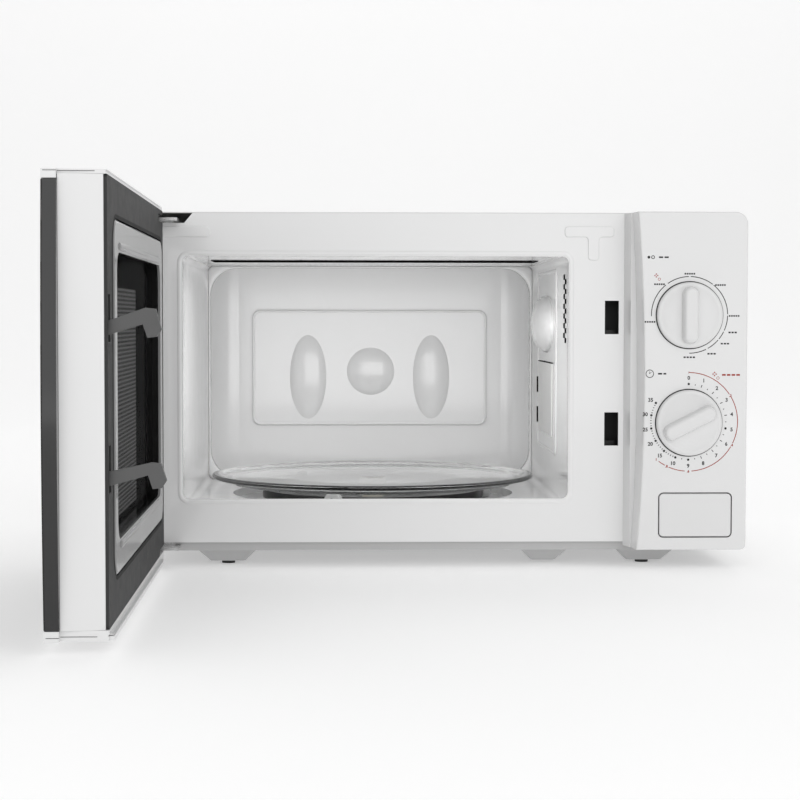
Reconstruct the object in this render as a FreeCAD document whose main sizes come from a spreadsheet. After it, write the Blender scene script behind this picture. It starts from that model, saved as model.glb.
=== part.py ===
"""Countertop microwave oven with a grill, two dials and a side-hinged door, drawn with its door open.

The origin is the centre of the four feet, on the surface they stand on. +X is to the right of a
person in front of the oven, +Y runs to the back and +Z is up. Every length is in millimetres.
The pieces of the door are drawn where they are when it is shut and then swung about the hinge.
"""
import math
import os
import re

import FreeCAD
import Part
import Sketcher
from FreeCAD import Placement, Rotation, Vector

SIZES = {
    # casing
    "body_half": 220.0,
    "body_top": 258.0,
    "front_y": -160.0,
    "rear_y": 165.0,
    "sheet": 0.8,
    "frame_low": 18.5,
    "frame_top": 257.4,
    "corner_radius": 8.5,
    "base_low": 12.0,
    "base_front_y": -155.0,
    "foot_x": 154.0,
    "foot_y": 130.0,
    "foot_radius": 4.9,
    "boss_low": 2.6,
    # cooking space
    "cavity_left": -185.0,
    "cavity_right": 95.0,
    "cavity_low": 50.0,
    "cavity_top": 226.3,
    "cavity_back": 131.0,
    "cavity_join": 104.0,
    "floor_z": 42.0,
    "dish_z": 36.0,
    "dish_radius": 112.0,
    "mouth_radius": 5.0,
    "back_radius": 25.0,
    "oval_half_x": 17.5,
    "oval_half_z": 40.0,
    "round_dome": 22.7,
    "dome_depth": 4.5,
    "dome_z": 130.0,
    "raised_left": -148.0,
    "raised_right": 57.0,
    "raised_low": 88.0,
    "raised_high": 188.5,
    "raised_radius": 7.0,
    "raised_step": 3.0,
    "swell_y": -15.0,
    "swell_z": 177.0,
    "swell_half_y": 45.0,
    "swell_half_z": 23.0,
    "swell_depth": 12.5,
    "roof_left": -172.0,
    "roof_right": 84.0,
    "roof_front": -58.0,
    "roof_rear": 92.0,
    "bead_height": 0.9,
    "bead_radius": 3.7,
    # machine bay beside and behind the cooking space
    "port_y": 4.0,
    "port_z": 117.0,
    "anode_z": 119.0,
    "can_y": 118.0,
    "can_z": 36.0,
    "can_radius": 19.0,
    "diode_x": 122.0,
    "diode_z": 24.0,
    "fan_x": 159.0,
    "fan_z": 180.0,
    "lamp_y": -107.0,
    "lamp_z": 190.0,
    "gland_x": 190.0,
    "gland_z": 48.0,
    "gland_bore": 3.6,
    # latch slots of the front
    "slot_left": 121.5,
    "slot_right": 131.7,
    "slot_low": 170.0,
    "slot_height": 24.3,
    "slot_drop": 81.3,
    "lever_y": -151.0,
    "lever_z": 74.0,
    # turntable
    "turn_x": -45.0,
    "turn_y": -14.4,
    "plate_radius": 128.5,
    "plate_top": 57.7,
    "plate_under": 49.8,
    "ring_radius": 86.0,
    "wheel_path": 93.0,
    "wheel_radius": 6.75,
    "wheel_width": 6.0,
    # control panel
    "panel_front": -189.5,
    "panel_ledge": -172.0,
    "panel_left": 135.4,
    "panel_right": 219.8,
    "panel_low": 15.7,
    "panel_top": 257.5,
    "panel_wall": 2.2,
    "knob_x": 178.0,
    "power_z": 183.8,
    "timer_z": 107.0,
    "knob_radius": 23.5,
    "knob_height": 4.0,
    "grip_height": 10.0,
    "grip_width": 11.3,
    "grip_length": 40.3,
    "shaft_radius": 3.0,
    "axis_shift": 0.001,
    "button_left": 157.2,
    "button_right": 208.8,
    "button_low": 25.3,
    "button_top": 56.2,
    # door, as it is when shut
    "hinge_x": -211.4,
    "hinge_y": -174.6,
    "door_left": -220.0,
    "door_right": 134.2,
    "door_edge": 139.6,
    "door_bow": 5.0,
    "door_low": 14.1,
    "door_top": 257.7,
    "door_face": -195.6,
    "door_inner": -161.2,
    "glass_back": -187.1,
    "window_left": -186.0,
    "window_right": 92.0,
    "window_low": 57.0,
    "window_high": 218.0,
    "window_radius": 12.0,
    "pin_radius": 2.5,
    "running": 0.05,
}
DOOR_OPEN_DEG = 89.4
TIMER_POINTER_DEG = 63.0
WHEEL_BEARING_DEG = (-109.7, 10.3, 130.3)

doc = FreeCAD.newDocument("microwave_oven")
sheet = doc.addObject("Spreadsheet::Sheet", "Sizes")
for row, (alias, size) in enumerate(SIZES.items(), start=1):
    sheet.set(f"A{row}", alias)
    sheet.set(f"B{row}", str(size))
    sheet.setAlias(f"B{row}", alias)
doc.recompute()

ALIAS = re.compile(r"[a-z][a-z0-9_]+")
nodes = []


# ---------------------------------------------------------------- helpers
def bound(text):
    """The expression with each size named as a cell of the sheet."""
    return ALIAS.sub(lambda word: "Sizes." + word.group(), str(text))


def number(text):
    """The present value of an expression in the sheet's names."""
    found = sheet.evalExpression(bound(text))
    return float(getattr(found, "Value", found))


def drive(thing, **paths):
    """Bind properties of an object to expressions; a double underscore stands for a dot."""
    for path, text in paths.items():
        thing.setExpression(path.replace("__", "."), bound(text))


def keep(thing, label, placement=None):
    """Name a finished sub-part and, on the door, swing it open."""
    thing.Label = label
    if placement is not None:
        thing.Placement = placement
    nodes.append(thing)
    return thing


def box(name, x, y, z):
    """Block between two places along each axis."""
    block = doc.addObject("Part::Box", name)
    for axis, side, (low, high) in zip("xyz", ("Length", "Width", "Height"), (x, y, z)):
        block.setExpression(side, bound(f"({high}) - ({low})"))
        block.setExpression(f"Placement.Base.{axis}", bound(low))
    return block


ALONG = {
    "x": Rotation(Vector(0, 1, 0), 90),
    "y": Rotation(Vector(1, 0, 0), -90),
    "z": Rotation(),
}


def rod(name, axis, radius, x, y, z, top_radius=None):
    """Cylinder or cone along an axis, whose own place is given as a pair (start, end)."""
    kind = "Part::Cylinder" if top_radius is None else "Part::Cone"
    body = doc.addObject(kind, name)
    body.Placement = Placement(Vector(), ALONG[axis])
    places = {"x": x, "y": y, "z": z}
    start, end = places[axis]
    places[axis] = start
    drive(body, Height=f"({end}) - ({start})")
    if top_radius is None:
        drive(body, Radius=radius)
    else:
        drive(body, Radius1=radius, Radius2=top_radius)
    for letter, text in places.items():
        body.setExpression(f"Placement.Base.{letter}", bound(text))
    return body


def fuse(name, *parts):
    """One solid from several that touch."""
    joined = doc.addObject("Part::MultiFuse", name)
    joined.Shapes = list(parts)
    joined.Refine = True
    return joined


def cut(name, base, *tools):
    """The base less every tool."""
    piece = doc.addObject("Part::Cut", name)
    piece.Base = base
    piece.Tool = tools[0] if len(tools) == 1 else fuse(name + "_tools", *tools)
    return piece


def group(name, parts):
    """Separate solids of one node."""
    bundle = doc.addObject("Part::Compound", name)
    bundle.Links = list(parts)
    return bundle


def set_shape(name, shape):
    """A piece whose shape is worked out elsewhere."""
    piece = doc.addObject("Part::Feature", name)
    piece.Shape = shape
    return piece


def new_body(name):
    """Empty body for a chain of sketches and features."""
    return doc.addObject("PartDesign::Body", name)


def sketch_on(body, plane, offset, name):
    """Sketch on one of the body's own origin planes, moved along its normal."""
    support = next(f for f in body.Origin.OriginFeatures if f.Role == plane)
    sketch = body.newObject("Sketcher::SketchObject", name)
    sketch.AttachmentSupport = [(support, "")]
    sketch.MapMode = "FlatFace"
    sketch.setExpression("AttachmentOffset.Base.z", bound(offset))
    return sketch


def place_point(sketch, geometry, point, place, tag):
    """Hold one point of a sketch at a place given by two expressions."""
    for kind, letter, text in (("DistanceX", "u", place[0]), ("DistanceY", "v", place[1])):
        if text is None:
            continue
        index = sketch.addConstraint(
            Sketcher.Constraint(kind, -1, 1, geometry, point, number(text))
        )
        label = f"{letter}{tag}"
        sketch.renameConstraint(index, label)
        sketch.setExpression(f"Constraints.{label}", bound(text))


def polygon(sketch, corners):
    """Closed outline of straight sides through the corners."""
    first = sketch.GeometryCount
    spots = [Vector(number(u), number(v), 0) for u, v in corners]
    count = len(spots)
    for i in range(count):
        sketch.addGeometry(Part.LineSegment(spots[i], spots[(i + 1) % count]))
    for i in range(count):
        sketch.addConstraint(
            Sketcher.Constraint("Coincident", first + i, 2, first + (i + 1) % count, 1)
        )
    for i, corner in enumerate(corners):
        place_point(sketch, first + i, 1, corner, f"{first}_{i}")


def rounded(sketch, left, right, low, high, radius):
    """Rectangle with four equal round corners."""
    first = sketch.GeometryCount
    x0, x1, y0, y1, r = (number(t) for t in (left, right, low, high, radius))
    sides = (
        (Vector(x0 + r, y0, 0), Vector(x1 - r, y0, 0)),
        (Vector(x1, y0 + r, 0), Vector(x1, y1 - r, 0)),
        (Vector(x1 - r, y1, 0), Vector(x0 + r, y1, 0)),
        (Vector(x0, y1 - r, 0), Vector(x0, y0 + r, 0)),
    )
    centres = ((x1 - r, y0 + r), (x1 - r, y1 - r), (x0 + r, y1 - r), (x0 + r, y0 + r))
    for start, end in sides:
        sketch.addGeometry(Part.LineSegment(start, end))
    for i, (u, v) in enumerate(centres):
        circle = Part.Circle(Vector(u, v, 0), Vector(0, 0, 1), r)
        quarter = math.pi / 2
        sketch.addGeometry(Part.ArcOfCircle(circle, (i - 1) * quarter, i * quarter))
    for i in range(4):
        line, arc, following = first + i, first + 4 + i, first + (i + 1) % 4
        sketch.addConstraint(Sketcher.Constraint("Tangent", line, 2, arc, 1))
        sketch.addConstraint(Sketcher.Constraint("Tangent", arc, 2, following, 1))
        level = "Horizontal" if i % 2 == 0 else "Vertical"
        sketch.addConstraint(Sketcher.Constraint(level, line))
        if i:
            sketch.addConstraint(Sketcher.Constraint("Equal", first + 4, arc))
    index = sketch.addConstraint(Sketcher.Constraint("Radius", first + 4, r))
    sketch.renameConstraint(index, f"r{first}")
    sketch.setExpression(f"Constraints.r{first}", bound(radius))
    place_point(sketch, first, 1, (None, low), f"low{first}")
    place_point(sketch, first + 1, 1, (right, None), f"right{first}")
    place_point(sketch, first + 2, 1, (None, high), f"high{first}")
    place_point(sketch, first + 3, 1, (left, None), f"left{first}")


def disc(sketch, centre, radius):
    """Circle held by its centre and radius."""
    first = sketch.GeometryCount
    middle = Vector(number(centre[0]), number(centre[1]), 0)
    sketch.addGeometry(Part.Circle(middle, Vector(0, 0, 1), number(radius)))
    place_point(sketch, first, 3, centre, f"c{first}")
    index = sketch.addConstraint(Sketcher.Constraint("Radius", first, number(radius)))
    sketch.renameConstraint(index, f"r{first}")
    sketch.setExpression(f"Constraints.r{first}", bound(radius))


def pad(body, sketch, length, name, reverse=False):
    """Material raised from a sketch along its normal."""
    feature = body.newObject("PartDesign::Pad", name)
    feature.Profile = sketch
    feature.Reversed = reverse
    drive(feature, Length=length)
    doc.recompute()
    return feature


def pocket(body, sketch, length, name, reverse=False):
    """Material taken away below a sketch; stops if nothing was cut."""
    doc.recompute()
    before = body.Shape.Volume
    feature = body.newObject("PartDesign::Pocket", name)
    feature.Profile = sketch
    feature.Reversed = reverse
    drive(feature, Length=length)
    doc.recompute()
    if not body.Shape.Volume < before:
        raise RuntimeError(f"{name} cuts nothing")
    return feature


def round_edges(body, feature, radius, name, wanted):
    """Fillet on the edges of the feature that the test picks out."""
    doc.recompute()
    picked = [f"Edge{i}" for i, e in enumerate(feature.Shape.Edges, start=1) if wanted(e)]
    if not picked:
        raise RuntimeError(f"{name} finds no edge")
    fillet = body.newObject("PartDesign::Fillet", name)
    fillet.Base = (feature, picked)
    drive(fillet, Radius=radius)
    doc.recompute()
    return fillet


def lies_at(axis, place, slack=0.02):
    """Test for edges that lie wholly in the plane across an axis."""
    value = number(place)

    def test(edge):
        bounds = edge.BoundBox
        low = getattr(bounds, axis + "Min")
        high = getattr(bounds, axis + "Max")
        return abs(low - value) < slack and abs(high - value) < slack

    return test


def revolved(name, outline, x, y, turn=None):
    """Solid of revolution about a line along Z: the outline is (radius, height) corners."""
    body = new_body(name)
    sketch = sketch_on(body, "XZ_Plane", "0", name + "_profile")
    polygon(sketch, outline)
    feature = body.newObject("PartDesign::Revolution", name + "_turned")
    feature.Profile = sketch
    feature.ReferenceAxis = (sketch, ["V_Axis"])
    feature.Angle = 360
    if turn is not None:
        body.Placement = Placement(Vector(), turn)
    drive(body, Placement__Base__x=x, Placement__Base__y=y)
    doc.recompute()
    return body


def coil(radius, wire, pitch, turns):
    """Closed helical spring along Z, standing on its own origin."""
    path = Part.makeHelix(pitch, pitch * turns, radius)
    ring = Part.Wire(Part.makeCircle(wire, Vector(radius, 0, 0), Vector(0, 1, pitch / 40)))
    return Part.Wire(path).makePipeShell([ring], True, True)


hinge = Vector(SIZES["hinge_x"], SIZES["hinge_y"], 0)
DOOR_SWING = Placement(Vector(), Rotation(Vector(0, 0, 1), -DOOR_OPEN_DEG), hinge)


# ---------------------------------------------------------------- casing
def make_front_frame():
    """Painted steel front with the mouth, the latch slots, stamped beads and folded edges."""
    body = new_body("front_frame_body")
    face = sketch_on(body, "XZ_Plane", "-front_y - sheet", "front_outline")
    rounded(face, "-body_half + sheet", "body_half - sheet", "frame_low", "frame_top", "corner_radius")
    pad(body, face, "sheet", "front_sheet")
    beads = sketch_on(body, "XZ_Plane", "-front_y", "front_beads")
    rounded(beads, "-204", "-164.5", "239.8", "247.4", "bead_radius")
    bead = pad(body, beads, "bead_height", "front_bead_left")
    round_edges(body, bead, "0.6", "bead_left_soft", lies_at("Y", "front_y - bead_height"))
    tee = sketch_on(body, "XZ_Plane", "-front_y", "front_tee")
    polygon(tee, [
        ("92", "240.4"), ("109", "240.4"), ("109", "223.6"), ("117", "223.6"),
        ("117", "240.4"), ("128", "240.4"), ("128", "248"), ("92", "248"),
    ])
    stem = pad(body, tee, "bead_height", "front_bead_tee")

    def upright(edge):
        """Edges of the tee that run along Y."""
        bounds = edge.BoundBox
        across = bounds.XLength < 0.01 and bounds.ZLength < 0.01 and bounds.YLength > 0.85
        return across and bounds.XMin > 90 and bounds.XMax < 129 and bounds.ZMin > 223

    corners = round_edges(body, stem, "2.6", "tee_corners", upright)

    def tee_top(edge):
        """Edges round the tee's front face."""
        return lies_at("Y", "front_y - bead_height")(edge) and edge.BoundBox.XMin > 90

    round_edges(body, corners, "0.6", "tee_soft", tee_top)
    mouth = sketch_on(body, "XZ_Plane", "-front_y + 1", "front_mouth")
    rounded(mouth, "cavity_left", "cavity_right", "cavity_low", "cavity_top", "mouth_radius")
    for drop in ("0", "slot_drop"):
        polygon(mouth, [
            ("slot_left", f"slot_low - {drop}"), ("slot_right", f"slot_low - {drop}"),
            ("slot_right", f"slot_low + slot_height - {drop}"),
            ("slot_left", f"slot_low + slot_height - {drop}"),
        ])
    polygon(mouth, [("143", "28"), ("213", "28"), ("213", "246"), ("143", "246")])
    pocket(body, mouth, "3", "front_openings")
    notch = sketch_on(body, "XZ_Plane", "-front_y + 1", "hinge_notch")
    polygon(notch, [
        ("-body_half - 2", "250"), ("-183.5", "250"), ("-176.5", "frame_top + 1"),
        ("-body_half - 2", "frame_top + 1"),
    ])
    pocket(body, notch, "3", "hinge_notch_cut")
    folds = sketch_on(body, "XZ_Plane", "-front_y - sheet", "front_folds")
    polygon(folds, [
        ("-168", "frame_top - 0.4 - sheet"), ("205", "frame_top - 0.4 - sheet"),
        ("205", "frame_top - 0.4"), ("-168", "frame_top - 0.4"),
    ])
    polygon(folds, [
        ("-186", "frame_low"), ("205", "frame_low"), ("205", "frame_low + sheet"),
        ("-186", "frame_low + sheet"),
    ])
    pad(body, folds, "11", "front_folds_back", reverse=True)
    keep(body, "cavity_front_frame")


def make_cavity():
    """Liner of four walls with a sunk floor and a swell on its right; the drawn back with its domes."""
    liner = new_body("liner_body")
    outer = sketch_on(liner, "XZ_Plane", "-cavity_join", "liner_outer")
    rounded(outer, "cavity_left - sheet", "cavity_right + sheet", "floor_z - sheet",
            "cavity_top + sheet", "mouth_radius + sheet")
    pad(liner, outer, "cavity_join - front_y - sheet", "liner_block")
    dish = sketch_on(liner, "XY_Plane", "dish_z - sheet", "liner_dish")
    disc(dish, ("turn_x", "turn_y"), "dish_radius + sheet")
    pad(liner, dish, "floor_z - dish_z", "liner_dish_block")
    inner = sketch_on(liner, "XZ_Plane", "-cavity_join - 1", "liner_inner")
    rounded(inner, "cavity_left", "cavity_right", "floor_z", "cavity_top", "mouth_radius")
    pocket(liner, inner, "cavity_join - front_y + 5", "liner_hollow", reverse=True)
    well = sketch_on(liner, "XY_Plane", "dish_z", "liner_well")
    disc(well, ("turn_x", "turn_y"), "dish_radius")
    pocket(liner, well, "20", "liner_dish_hollow", reverse=True)
    hub = sketch_on(liner, "XY_Plane", "dish_z + 1", "liner_hub_hole")
    disc(hub, ("turn_x", "turn_y"), "9.6")
    pocket(liner, hub, "4", "liner_hub_cut")
    roof = sketch_on(liner, "XY_Plane", "cavity_top + 3", "liner_roof")
    polygon(roof, [("roof_left", "roof_front"), ("roof_right", "roof_front"),
                   ("roof_right", "roof_rear"), ("roof_left", "roof_rear")])
    pocket(liner, roof, "6", "liner_grill_opening")
    holes = sketch_on(liner, "YZ_Plane", "cavity_right + 2", "liner_lamp_holes")
    for column in range(2):
        for place in range(7):
            u = f"front_y + {15 + 8 * column}"
            v = f"{163.5 + 3.6 * column + 7.2 * place:.1f}"
            polygon(holes, [(u, v), (f"{u} + 4.6", v), (f"{u} + 4.6", f"{v} + 3.2"), (u, f"{v} + 3.2")])
    polygon(holes, [("-58", "96"), ("32", "96"), ("32", "138"), ("-58", "138")])
    pocket(liner, holes, "4", "liner_side_cut")
    swell = doc.addObject("Part::Ellipsoid", "liner_swell")
    drive(swell, Radius1="swell_half_z", Radius2="swell_depth", Radius3="swell_half_y",
          Placement__Base__x="cavity_right", Placement__Base__y="swell_y", Placement__Base__z="swell_z")
    beyond = box("liner_swell_limit", ("cavity_right + sheet / 2", "cavity_right + 20"), ("-90", "60"),
                 ("140", "220"))
    inside = doc.addObject("Part::Ellipsoid", "liner_swell_inside")
    drive(inside, Radius1="swell_half_z - sheet", Radius2="swell_depth - sheet / 2",
          Radius3="swell_half_y - sheet", Placement__Base__x="cavity_right + sheet",
          Placement__Base__y="swell_y", Placement__Base__z="swell_z")
    walls = fuse("liner_walls", liner, cut("liner_swell_front", swell, beyond))
    keep(cut("liner_shell", walls, inside), "cavity_liner")

    back = new_body("back_body")
    outer = sketch_on(back, "XY_Plane", "floor_z - sheet", "back_outer")
    rounded(outer, "cavity_left - sheet", "cavity_right + sheet", "cavity_join - 60",
            "cavity_back + sheet", "back_radius + sheet")
    pad(back, outer, "cavity_top - floor_z + 2 * sheet", "back_block")
    front = sketch_on(back, "XY_Plane", "floor_z - 5", "back_front")
    polygon(front, [
        ("cavity_left - 9", "cavity_join - 90"), ("cavity_right + 9", "cavity_join - 90"),
        ("cavity_right + 9", "cavity_join"), ("cavity_left - 9", "cavity_join"),
    ])
    pocket(back, front, "300", "back_open_front", reverse=True)
    inner = sketch_on(back, "XY_Plane", "floor_z", "back_inner")
    rounded(inner, "cavity_left", "cavity_right", "cavity_join - 90", "cavity_back", "back_radius")
    pocket(back, inner, "cavity_top - floor_z", "back_hollow", reverse=True)
    raised = sketch_on(back, "XZ_Plane", "-cavity_back", "back_panel")
    rounded(raised, "raised_left", "raised_right", "raised_low", "raised_high", "raised_radius")
    pad(back, raised, "raised_step", "back_raised")
    doc.recompute()
    domes = []
    ovals = (("oval_half_x", "oval_half_z", "turn_x - 54.5", "dome_z"),
             ("oval_half_x", "oval_half_z", "turn_x + 53.5", "dome_z"),
             ("round_dome", "round_dome", "turn_x + 0.3", "dome_z + 5"))
    for index, (half_x, half_z, x, z) in enumerate(ovals):
        dome = doc.addObject("Part::Ellipsoid", f"back_dome_{index}")
        drive(dome, Radius1=half_z, Radius2=half_x, Radius3="dome_depth + raised_step",
              Placement__Base__x=x, Placement__Base__y="cavity_back", Placement__Base__z=z)
        behind = box(f"dome_{index}_limit", ("-200", "200"), ("cavity_back + sheet", "cavity_back + 40"),
                     ("40", "240"))
        domes.append(cut(f"dome_{index}_front", dome, behind))
    keep(fuse("back_with_domes", back, *domes), "cavity_back")


def make_grill():
    """Perforated guard under two quartz tubes, in a tray that reflects their heat down."""
    guard = box("guard_sheet", ("roof_left + 0.4", "roof_right - 0.4"), ("-17", "roof_rear - 0.4"),
                ("cavity_top", "cavity_top + sheet"))
    slots = []
    for line, y in enumerate(range(-8, 84, 13)):
        for place in range(19):
            x = -131 + 10.2 * place + 5.1 * (line % 2)
            slots.append(box(f"guard_slot_{line}_{place}", (f"{x}", f"{x} + 7"),
                             (f"{y}", f"{y} + 5"), ("cavity_top - 2", "cavity_top + 4")))
    keep(cut("guard_cut", guard, *slots), "grill_guard")
    tray = box("tray_block", ("roof_left - 2", "roof_right + 2"), ("roof_front - 2", "roof_rear + 2"),
               ("cavity_top + sheet", "cavity_top + 24"))
    hollow = box("tray_hollow", ("roof_left - 1.2", "roof_right + 1.2"),
                 ("roof_front - 1.2", "roof_rear + 1.2"), ("cavity_top", "cavity_top + 23.2"))
    keep(cut("tray_cut", tray, hollow), "heater_reflector")
    tubes = []
    for y in ("-38", "42"):
        tubes.append(rod(f"tube_{y}", "x", "4.5", ("-150", "62"), y, "cavity_top + 12"))
        for side, start in (("left", "-165"), ("right", "62")):
            tubes.append(rod(f"tube_end_{side}_{y}", "x", "6", (start, f"{start} + 15"), y,
                             "cavity_top + 12"))
    keep(group("tubes", tubes), "heater_elements")


def make_cover():
    """Folded steel wrapper: a roof and two sides with cooling slots, and its screws."""
    cover = new_body("cover_body")
    outer = sketch_on(cover, "XZ_Plane", "-rear_y + 0.9", "cover_outer")
    rounded(outer, "-body_half", "body_half", "base_low + 1", "body_top", "corner_radius")
    pad(cover, outer, "rear_y - front_y - 2", "cover_block")
    inner = sketch_on(cover, "XZ_Plane", "-rear_y - 1", "cover_inner")
    rounded(inner, "-body_half + sheet", "body_half - sheet", "base_low - 30",
            "body_top - sheet", "corner_radius - sheet")
    pocket(cover, inner, "rear_y - front_y + 4", "cover_hollow", reverse=True)
    foot = sketch_on(cover, "XZ_Plane", "-rear_y - 1", "cover_open_foot")
    polygon(foot, [("-body_half - 2", "0"), ("body_half + 2", "0"), ("body_half + 2", "base_low + 9"),
                   ("-body_half - 2", "base_low + 9")])
    pocket(cover, foot, "rear_y - front_y + 4", "cover_foot_cut", reverse=True)
    vents = []
    for side, x in (("left", "-body_half"), ("right", "body_half - sheet")):
        for row in range(9):
            z = f"{70 + 9 * row}"
            for bank, y in enumerate(("60", "102")):
                vents.append(box(f"vent_{side}_{row}_{bank}", (f"{x} - 1", f"{x} + sheet + 1"),
                                 (y, f"{y} + 34"), (z, f"{z} + 3.4")))
    keep(cut("cover_cut", cover, *vents), "outer_cover")


def make_rear():
    """Rear sheet with the fan's outlet slots and the hole of the cord gland."""
    rear = new_body("rear_body")
    face = sketch_on(rear, "XZ_Plane", "-rear_y", "rear_outline")
    rounded(face, "-body_half + sheet + 0.1", "body_half - sheet - 0.1", "base_low",
            "body_top - sheet - 0.1", "corner_radius - sheet")
    pad(rear, face, "sheet", "rear_sheet")
    tools = [rod("gland_hole", "y", "7", "gland_x", ("rear_y - 5", "rear_y + 5"), "gland_z")]
    for row in range(10):
        z = f"{130 + 9 * row}"
        for bank, x in enumerate(("112", "142", "172")):
            tools.append(box(f"rear_vent_{row}_{bank}", (x, f"{x} + 25"),
                             ("rear_y - 5", "rear_y + 5"), (z, f"{z} + 3.6")))
    for row in range(3):
        z = f"{196 + 9 * row}"
        for bank, x in enumerate(("-150", "-110", "-70")):
            tools.append(box(f"rear_steam_{row}_{bank}", (x, f"{x} + 30"),
                             ("rear_y - 5", "rear_y + 5"), (z, f"{z} + 3.6")))
    keep(cut("rear_cut", rear, *tools), "rear_panel")
    screws = []
    for x in ("-200", "0", "200"):
        for z in ("30", "242"):
            screws.append(rod(f"screw_{x}_{z}", "y", "3.4", x, ("rear_y", "rear_y + 1.8"), z,
                              top_radius="2.6"))
    keep(group("screws", screws), "cover_screws")
    flange = rod("gland_flange", "y", "10", "gland_x", ("rear_y", "rear_y + 3"), "gland_z")
    barrel = rod("gland_barrel", "y", "7", "gland_x", ("rear_y - sheet", "rear_y"), "gland_z")
    collar = rod("gland_collar", "y", "9", "gland_x", ("rear_y - 7", "rear_y - sheet"), "gland_z")
    bore = rod("gland_hollow", "y", "gland_bore", "gland_x", ("rear_y - 12", "rear_y + 9"), "gland_z")
    keep(cut("gland_cut", fuse("gland_solid", flange, barrel, collar), bore), "cord_gland")


def boss(name, x, y, half_x, half_y, grow, low):
    """Tapered foot stamped down from the base: a loft between two rounded blocks."""
    def ring(z, hx, hy):
        """Closed rectangle at one height."""
        corners = [Vector(x - hx, y - hy, z), Vector(x + hx, y - hy, z),
                   Vector(x + hx, y + hy, z), Vector(x - hx, y + hy, z)]
        return Part.makePolygon(corners + corners[:1])

    top = SIZES["base_low"] + 0.01
    shape = Part.makeLoft([ring(top, half_x + grow, half_y + grow), ring(low, half_x, half_y)], True, True)
    upright = [e for e in shape.Edges if e.BoundBox.ZLength > 1]
    return set_shape(name, shape.makeFillet(4.0, upright))


def make_base():
    """Base tray with a turned-up rim, stamped feet, a mid dimple and air holes; rubber feet."""
    slab = box("base_slab", ("-body_half + 2.5", "body_half - 2.5"), ("base_front_y", "rear_y - 1.2"),
               ("base_low", "base_low + 6.3"))
    room = box("base_room", ("-body_half + 3.3", "body_half - 3.3"),
               ("base_front_y + sheet", "rear_y - 2"), ("base_low + sheet", "base_low + 20"))
    low = SIZES["boss_low"]
    outers = []
    inners = []
    for side in (-1, 1):
        for end in (-1, 1):
            x = side * SIZES["foot_x"]
            y = end * SIZES["foot_y"]
            outers.append(boss(f"foot_boss_{side}_{end}", x, y, 13, 10, 9, low))
    outers.append(boss("mid_boss", 79, -128, 9, 12, 9, low))
    for solid in outers:
        inner = solid.Shape.copy()
        inner.translate(Vector(0, 0, SIZES["sheet"]))
        inners.append(set_shape(solid.Name + "_inside", inner))
    holes = [rod(f"foot_hole_{sx}_{sy}", "z", "1.5", f"{sx} foot_x", f"{sy} foot_y", ("0", "20"))
             for sx in ("0 -", "0 +") for sy in ("0 -", "0 +")]
    for row in range(6):
        for place in range(5):
            holes.append(rod(f"intake_{row}_{place}", "z", "2.4", f"{114 + 10 * row}",
                             f"{62 + 10 * place}", ("base_low - 3", "base_low + 3")))
    keep(cut("base_cut", fuse("base_solid", slab, *outers), room, *inners, *holes), "base_plate")
    feet = []
    for sx in ("0 -", "0 +"):
        for sy in ("0 -", "0 +"):
            foot = rod(f"foot_pad_{sx}_{sy}", "z", "foot_radius", f"{sx} foot_x", f"{sy} foot_y",
                       ("0", "boss_low"))
            stem = rod(f"foot_stem_{sx}_{sy}", "z", "1.5", f"{sx} foot_x", f"{sy} foot_y",
                       ("boss_low", "boss_low + sheet"))
            head = rod(f"foot_head_{sx}_{sy}", "z", "2.6", f"{sx} foot_x", f"{sy} foot_y",
                       ("boss_low + sheet", "boss_low + 3"), top_radius="1")
            feet.append(fuse(f"foot_{sx}_{sy}", foot, stem, head))
    keep(group("feet", feet), "rubber_feet")


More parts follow.
